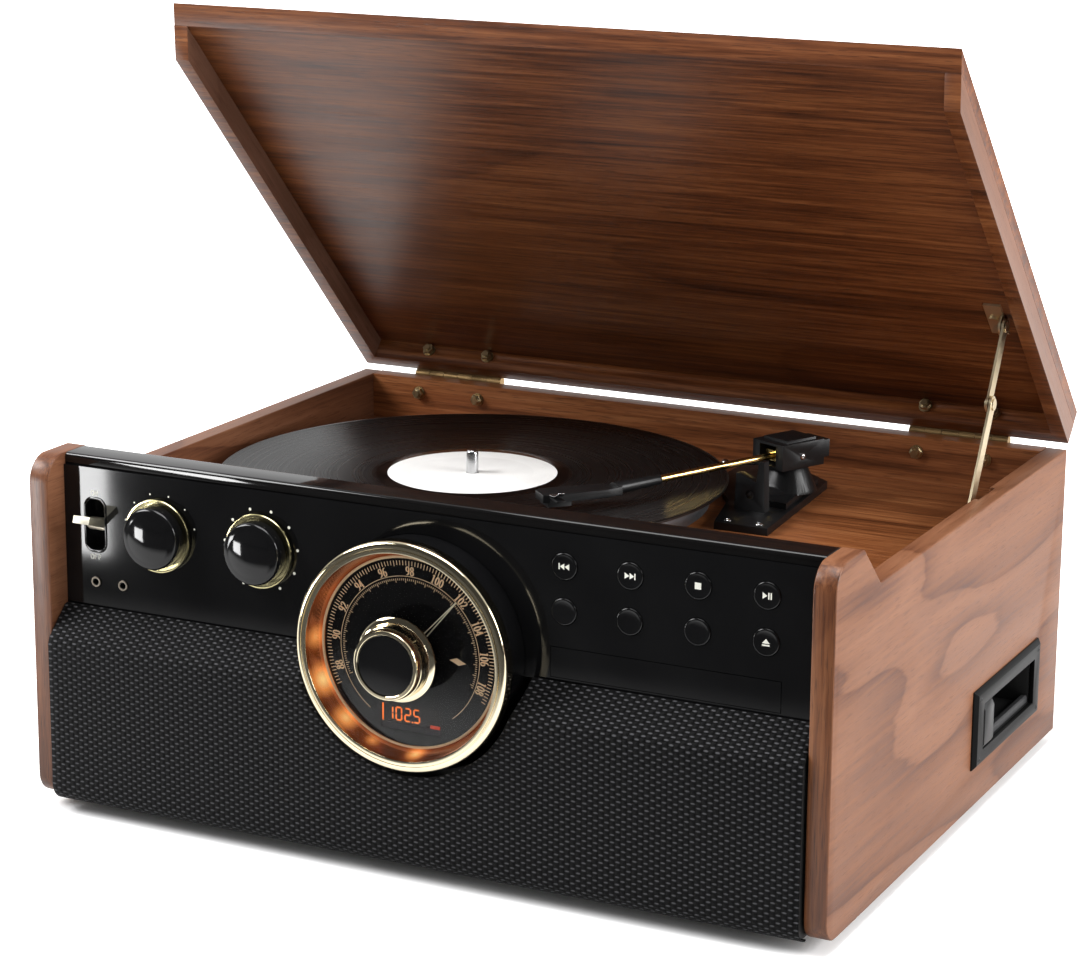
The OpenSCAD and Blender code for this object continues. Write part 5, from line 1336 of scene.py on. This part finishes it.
# %% [markdown]
# ## Record
# A pressing is thicker at its bead and its label than in the grooves between. The white
# label is a paper disc pressed into it, so it has its own thin ring with a pressed circle.

# %% Press the record and its label
disc_low, disc_high = box_mm("vinyl_record")
DISC_MIDDLE = (*(disc_low + disc_high)[:2] / 2, 0)
DISC_LOW, DISC_TOP = disc_low[2], disc_high[2]
DISC_R = (disc_high - disc_low)[0] / 2
UP = (0, 0, 1)
pressing = turned("record_pressed", [
    [3.7, DISC_LOW + 0.02], [DISC_R - 0.5, DISC_LOW + 0.02], [DISC_R, DISC_LOW + 0.5],
    [DISC_R, DISC_TOP - 0.5], [DISC_R - 0.4, DISC_TOP - 0.06], [DISC_R - 1.3, DISC_TOP],
    [DISC_R - 3.0, DISC_TOP - 0.2], [DISC_R - 3.7, DISC_TOP - 0.38], [60.0, DISC_TOP - 0.38],
    [58.5, DISC_TOP - 0.2], [51.0, DISC_TOP - 0.2], [50.6, DISC_TOP - 0.05], [3.7, DISC_TOP - 0.05],
    [3.7, DISC_LOW + 0.02]], DISC_MIDDLE, UP, "platter", SKIN["vinyl"], 200, 40)
stands_for(pressing, "vinyl", "vinyl_record")
label = turned("record_label", [
    [3.8, DISC_TOP - 0.1], [50.0, DISC_TOP - 0.1], [50.0, DISC_TOP + 0.04], [49.8, DISC_TOP + 0.08],
    [36.6, DISC_TOP + 0.08], [36.2, DISC_TOP + 0.03], [35.8, DISC_TOP + 0.08], [3.9, DISC_TOP + 0.08],
    [3.8, DISC_TOP + 0.04], [3.8, DISC_TOP - 0.1]], DISC_MIDDLE, UP, "platter", SKIN["label_paper"], 128)
stands_for(label, "cream_plastic")
print("record radius", round(DISC_R, 1), "top", round(DISC_TOP, 2))

# %% [markdown]
# ## Tonearm
# The base, the turret and the headshell are black mouldings with broken edges. The pivot
# screw, the two base screws and the finger lift are bright, and they are what shows first.
# arm_point turns the arm's own axes into cabinet millimetres: x runs along the tube, y to
# the side of the turret that faces the front right.

# %% Finish the tonearm
JOINTS = {joint["name"]: joint for joint in frame["record"]["behaviour"]["joints"]}
PIVOT = (np.array(JOINTS["tonearm_swing"]["pos_m"]) - at((0, 0, 0))[0]) / MM
ARM_Y = np.array(JOINTS["tonearm_lift"]["axis"], float)
ARM_X = np.cross(ARM_Y, (0, 0, 1))
HEAD_AT, HEAD_TURN = 131.95, math.radians(-17)


def arm_point(x, y, z):
    """Arm axes to cabinet mm: pivot + x along the tube + y across it, z as it is. Numbers or
    arrays of one shape."""
    flat = PIVOT + np.multiply.outer(x, ARM_X) + np.multiply.outer(y, ARM_Y)
    return np.stack([flat[..., 0], flat[..., 1], np.broadcast_to(z, flat.shape[:-1])], -1)


def head_point(x, y, z):
    """Headshell axes to cabinet mm: turned inward by the offset angle at the tube's end."""
    c, s = math.cos(HEAD_TURN), math.sin(HEAD_TURN)
    return arm_point(HEAD_AT + x * c - y * s, x * s + y * c, z)


def screw_head(name, place, axis, radius, height, body, material, slot):
    """A domed head with a round socket: a profile turned about its own axis."""
    piece = turned(name, [
        [0, height * 0.35], [radius * 0.34, height * 0.35], [radius * 0.42, height],
        [radius * 0.62, height * 0.92], [radius * 0.88, height * 0.55], [radius, 0.05], [radius, -0.4],
        [0, -0.4]], place, axis, body, SKIN[material], 28)
    return stands_for(piece, slot)


soften_all([
    ("tonearm_base", "satin_black", 0.4, 2), ("tonearm_turret", "satin_black", 0.35, 2),
    ("headshell", "satin_black", 0.25, 2), ("tonearm_tube", "arm_gold", 0, 0), ("cue_lever", "steel", 0.15, 2)])
screw_head("turret_pivot_screw", arm_point(0, 13.0, PIVOT[2]), ARM_Y, 2.1, 0.9, "tonearm_turret", "steel",
           "steel")
for k, (x, y) in enumerate(((109.5, 219.0), (90.0, 219.0))):
    screw_head(f"arm_base_screw_{k}", (x, y, 151.6), UP, 2.2, 0.9, "cabinet", "steel", "steel")
# The finger lift is a strip that leaves the headshell and curls up: with t from 0 at its
# root to 1 at its tip and w from -1 to 1 across it, it rises by 3.4 t^3 and narrows with t.
ROWS, ACROSS = 16, 7
t = np.linspace(0, 1, ROWS)[:, None]
w = np.linspace(-1, 1, ACROSS)[None, :]
one = np.ones((ROWS, ACROSS))
grid = head_point(40.5 + w * (2.5 - 0.6 * t), (7.4 + 13.0 * t) * one,
                  176.3 + 0.4 * t + 3.4 * t ** 3 + 0.25 * (1 - w * w))
finger = new_piece("finger_lift", at(grid.reshape(-1, 3)), grid_faces(ROWS, ACROSS), "tonearm_arm", SKIN["steel"])
thicken(finger, 0.0005, 1.0)
stands_for(finger, "steel")
print("pivot", PIVOT.round(1), "finger lift rows", ROWS)

# %% [markdown]
# ## Hinges, stay and screws
# Stamped leaves, arms and screws keep crisp edges: their copies only join the triangles of
# each flat face and shade the round ones smoothly. The castings, the mat and the feet get
# a narrow bevel.

# %% Finish the small metal
CRISP = {"antique_brass": ["hinge_cabinet_leaves", "hinge_lid_leaves"],
         "nut_metal": ["cabinet_fasteners", "lid_fasteners"],
         "stay_steel": ["stay_bracket", "stay_upper_arm", "stay_lower_arm"],
         "steel": ["center_spindle", "turntable_motor"], "brass": ["motor_pulley"],
         "cone_paper": ["speaker_drivers"], "rubber": ["drive_belt"]}
count = soften_all([(node, skin, 0, 0) for skin, nodes in CRISP.items() for node in nodes])
count += soften_all([("platter", "cast_metal", 0.3, 2), ("slip_mat", "felt", 0.3, 2), ("feet", "rubber", 0.5, 2)])
print("small metal and rubber finished", count)

# %% [markdown]
# ## Sockets, switch and cassette
# Ring nuts stand round the jacks, and four screws hold the cassette's frame. In the slot
# are a ledge along its foot and a leaf spring above it. At the back, the plated sleeves of
# the sockets take the second skin of their black plate.

# %% Finish the sockets, the switch and the cassette's frame
soften_all([("power_switch_plate", "gloss_black", 0.25, 2), ("jack_sockets", "satin_black", 0, 0),
            ("cassette_housing", "matt_black", 0, 0)])
jack_low, jack_high = box_mm("jack_sockets")
JACK_Z = (jack_low + jack_high)[2] / 2
for k, x in enumerate((jack_low[0] + 5, jack_high[0] - 5)):
    nut = ring(f"jack_nut_{k}", [[1.85, PANEL_Y - 0.5], [2.1, PANEL_Y - 0.85], [2.9, PANEL_Y - 0.85],
                                 [3.15, PANEL_Y - 0.6], [3.15, PANEL_Y - 0.02], [1.85, PANEL_Y - 0.02]],
               (x, JACK_Z), "dark_steel", segments=32)
    stands_for(nut, "steel")
SLEEVES_Y = 0.3830
rear = softened("rear_sockets", SKIN["satin_black"], 0.2, 2)
second_skin(rear, SKIN["brass"], lambda n, c: c[:, 1] > FRONT_Y + SLEEVES_Y)
frame_x = box_mm("cassette_bezel")[1][0]
for k, (y, z) in enumerate(((227.0, 29.0), (227.0, 64.5), (332.5, 29.0), (332.5, 64.5))):
    screw_head(f"cassette_screw_{k}", (frame_x - 0.05, y, z), (1, 0, 0), 1.6, 0.4, "cabinet", "matt_black",
               "black_plastic")
bay_low, bay_high = box_mm("cassette_housing")
sill = np.array([[233.0, 1.9], [239.0, 1.9], [239.4, 2.6], [239.2, 5.6], [238.4, 6.4], [236.0, 6.2],
                 [233.0, 3.4]]) + (0, bay_low[2])
ledge = plate("cassette_ledge", sill, 253.6, bay_high[1] - 2.2, "cabinet", SKIN["ledge_grey"])
stands_for(ledge, "black_plastic")
# The spring is a strip bowed down once along its run into the slot: z falls by 3.2 sin^2.
ROWS, ACROSS = 12, 5
t = np.linspace(0, 1, ROWS)[:, None]
y = np.linspace(262, 286, ACROSS)[None, :]
bow = bay_high[2] - 2.3 - 3.2 * np.sin(np.pi * np.minimum(1, t * 1.2)) ** 2
grid = np.stack(np.broadcast_arrays(236.5 - 9 * t, y, bow), -1)
spring = new_piece("cassette_spring", at(grid.reshape(-1, 3)), grid_faces(ROWS, ACROSS), "cabinet", SKIN["steel"])
thicken(spring, 0.0005)
stands_for(spring, "steel")
print("jacks at", round(float(JACK_Z), 1), "cassette screws", 4)
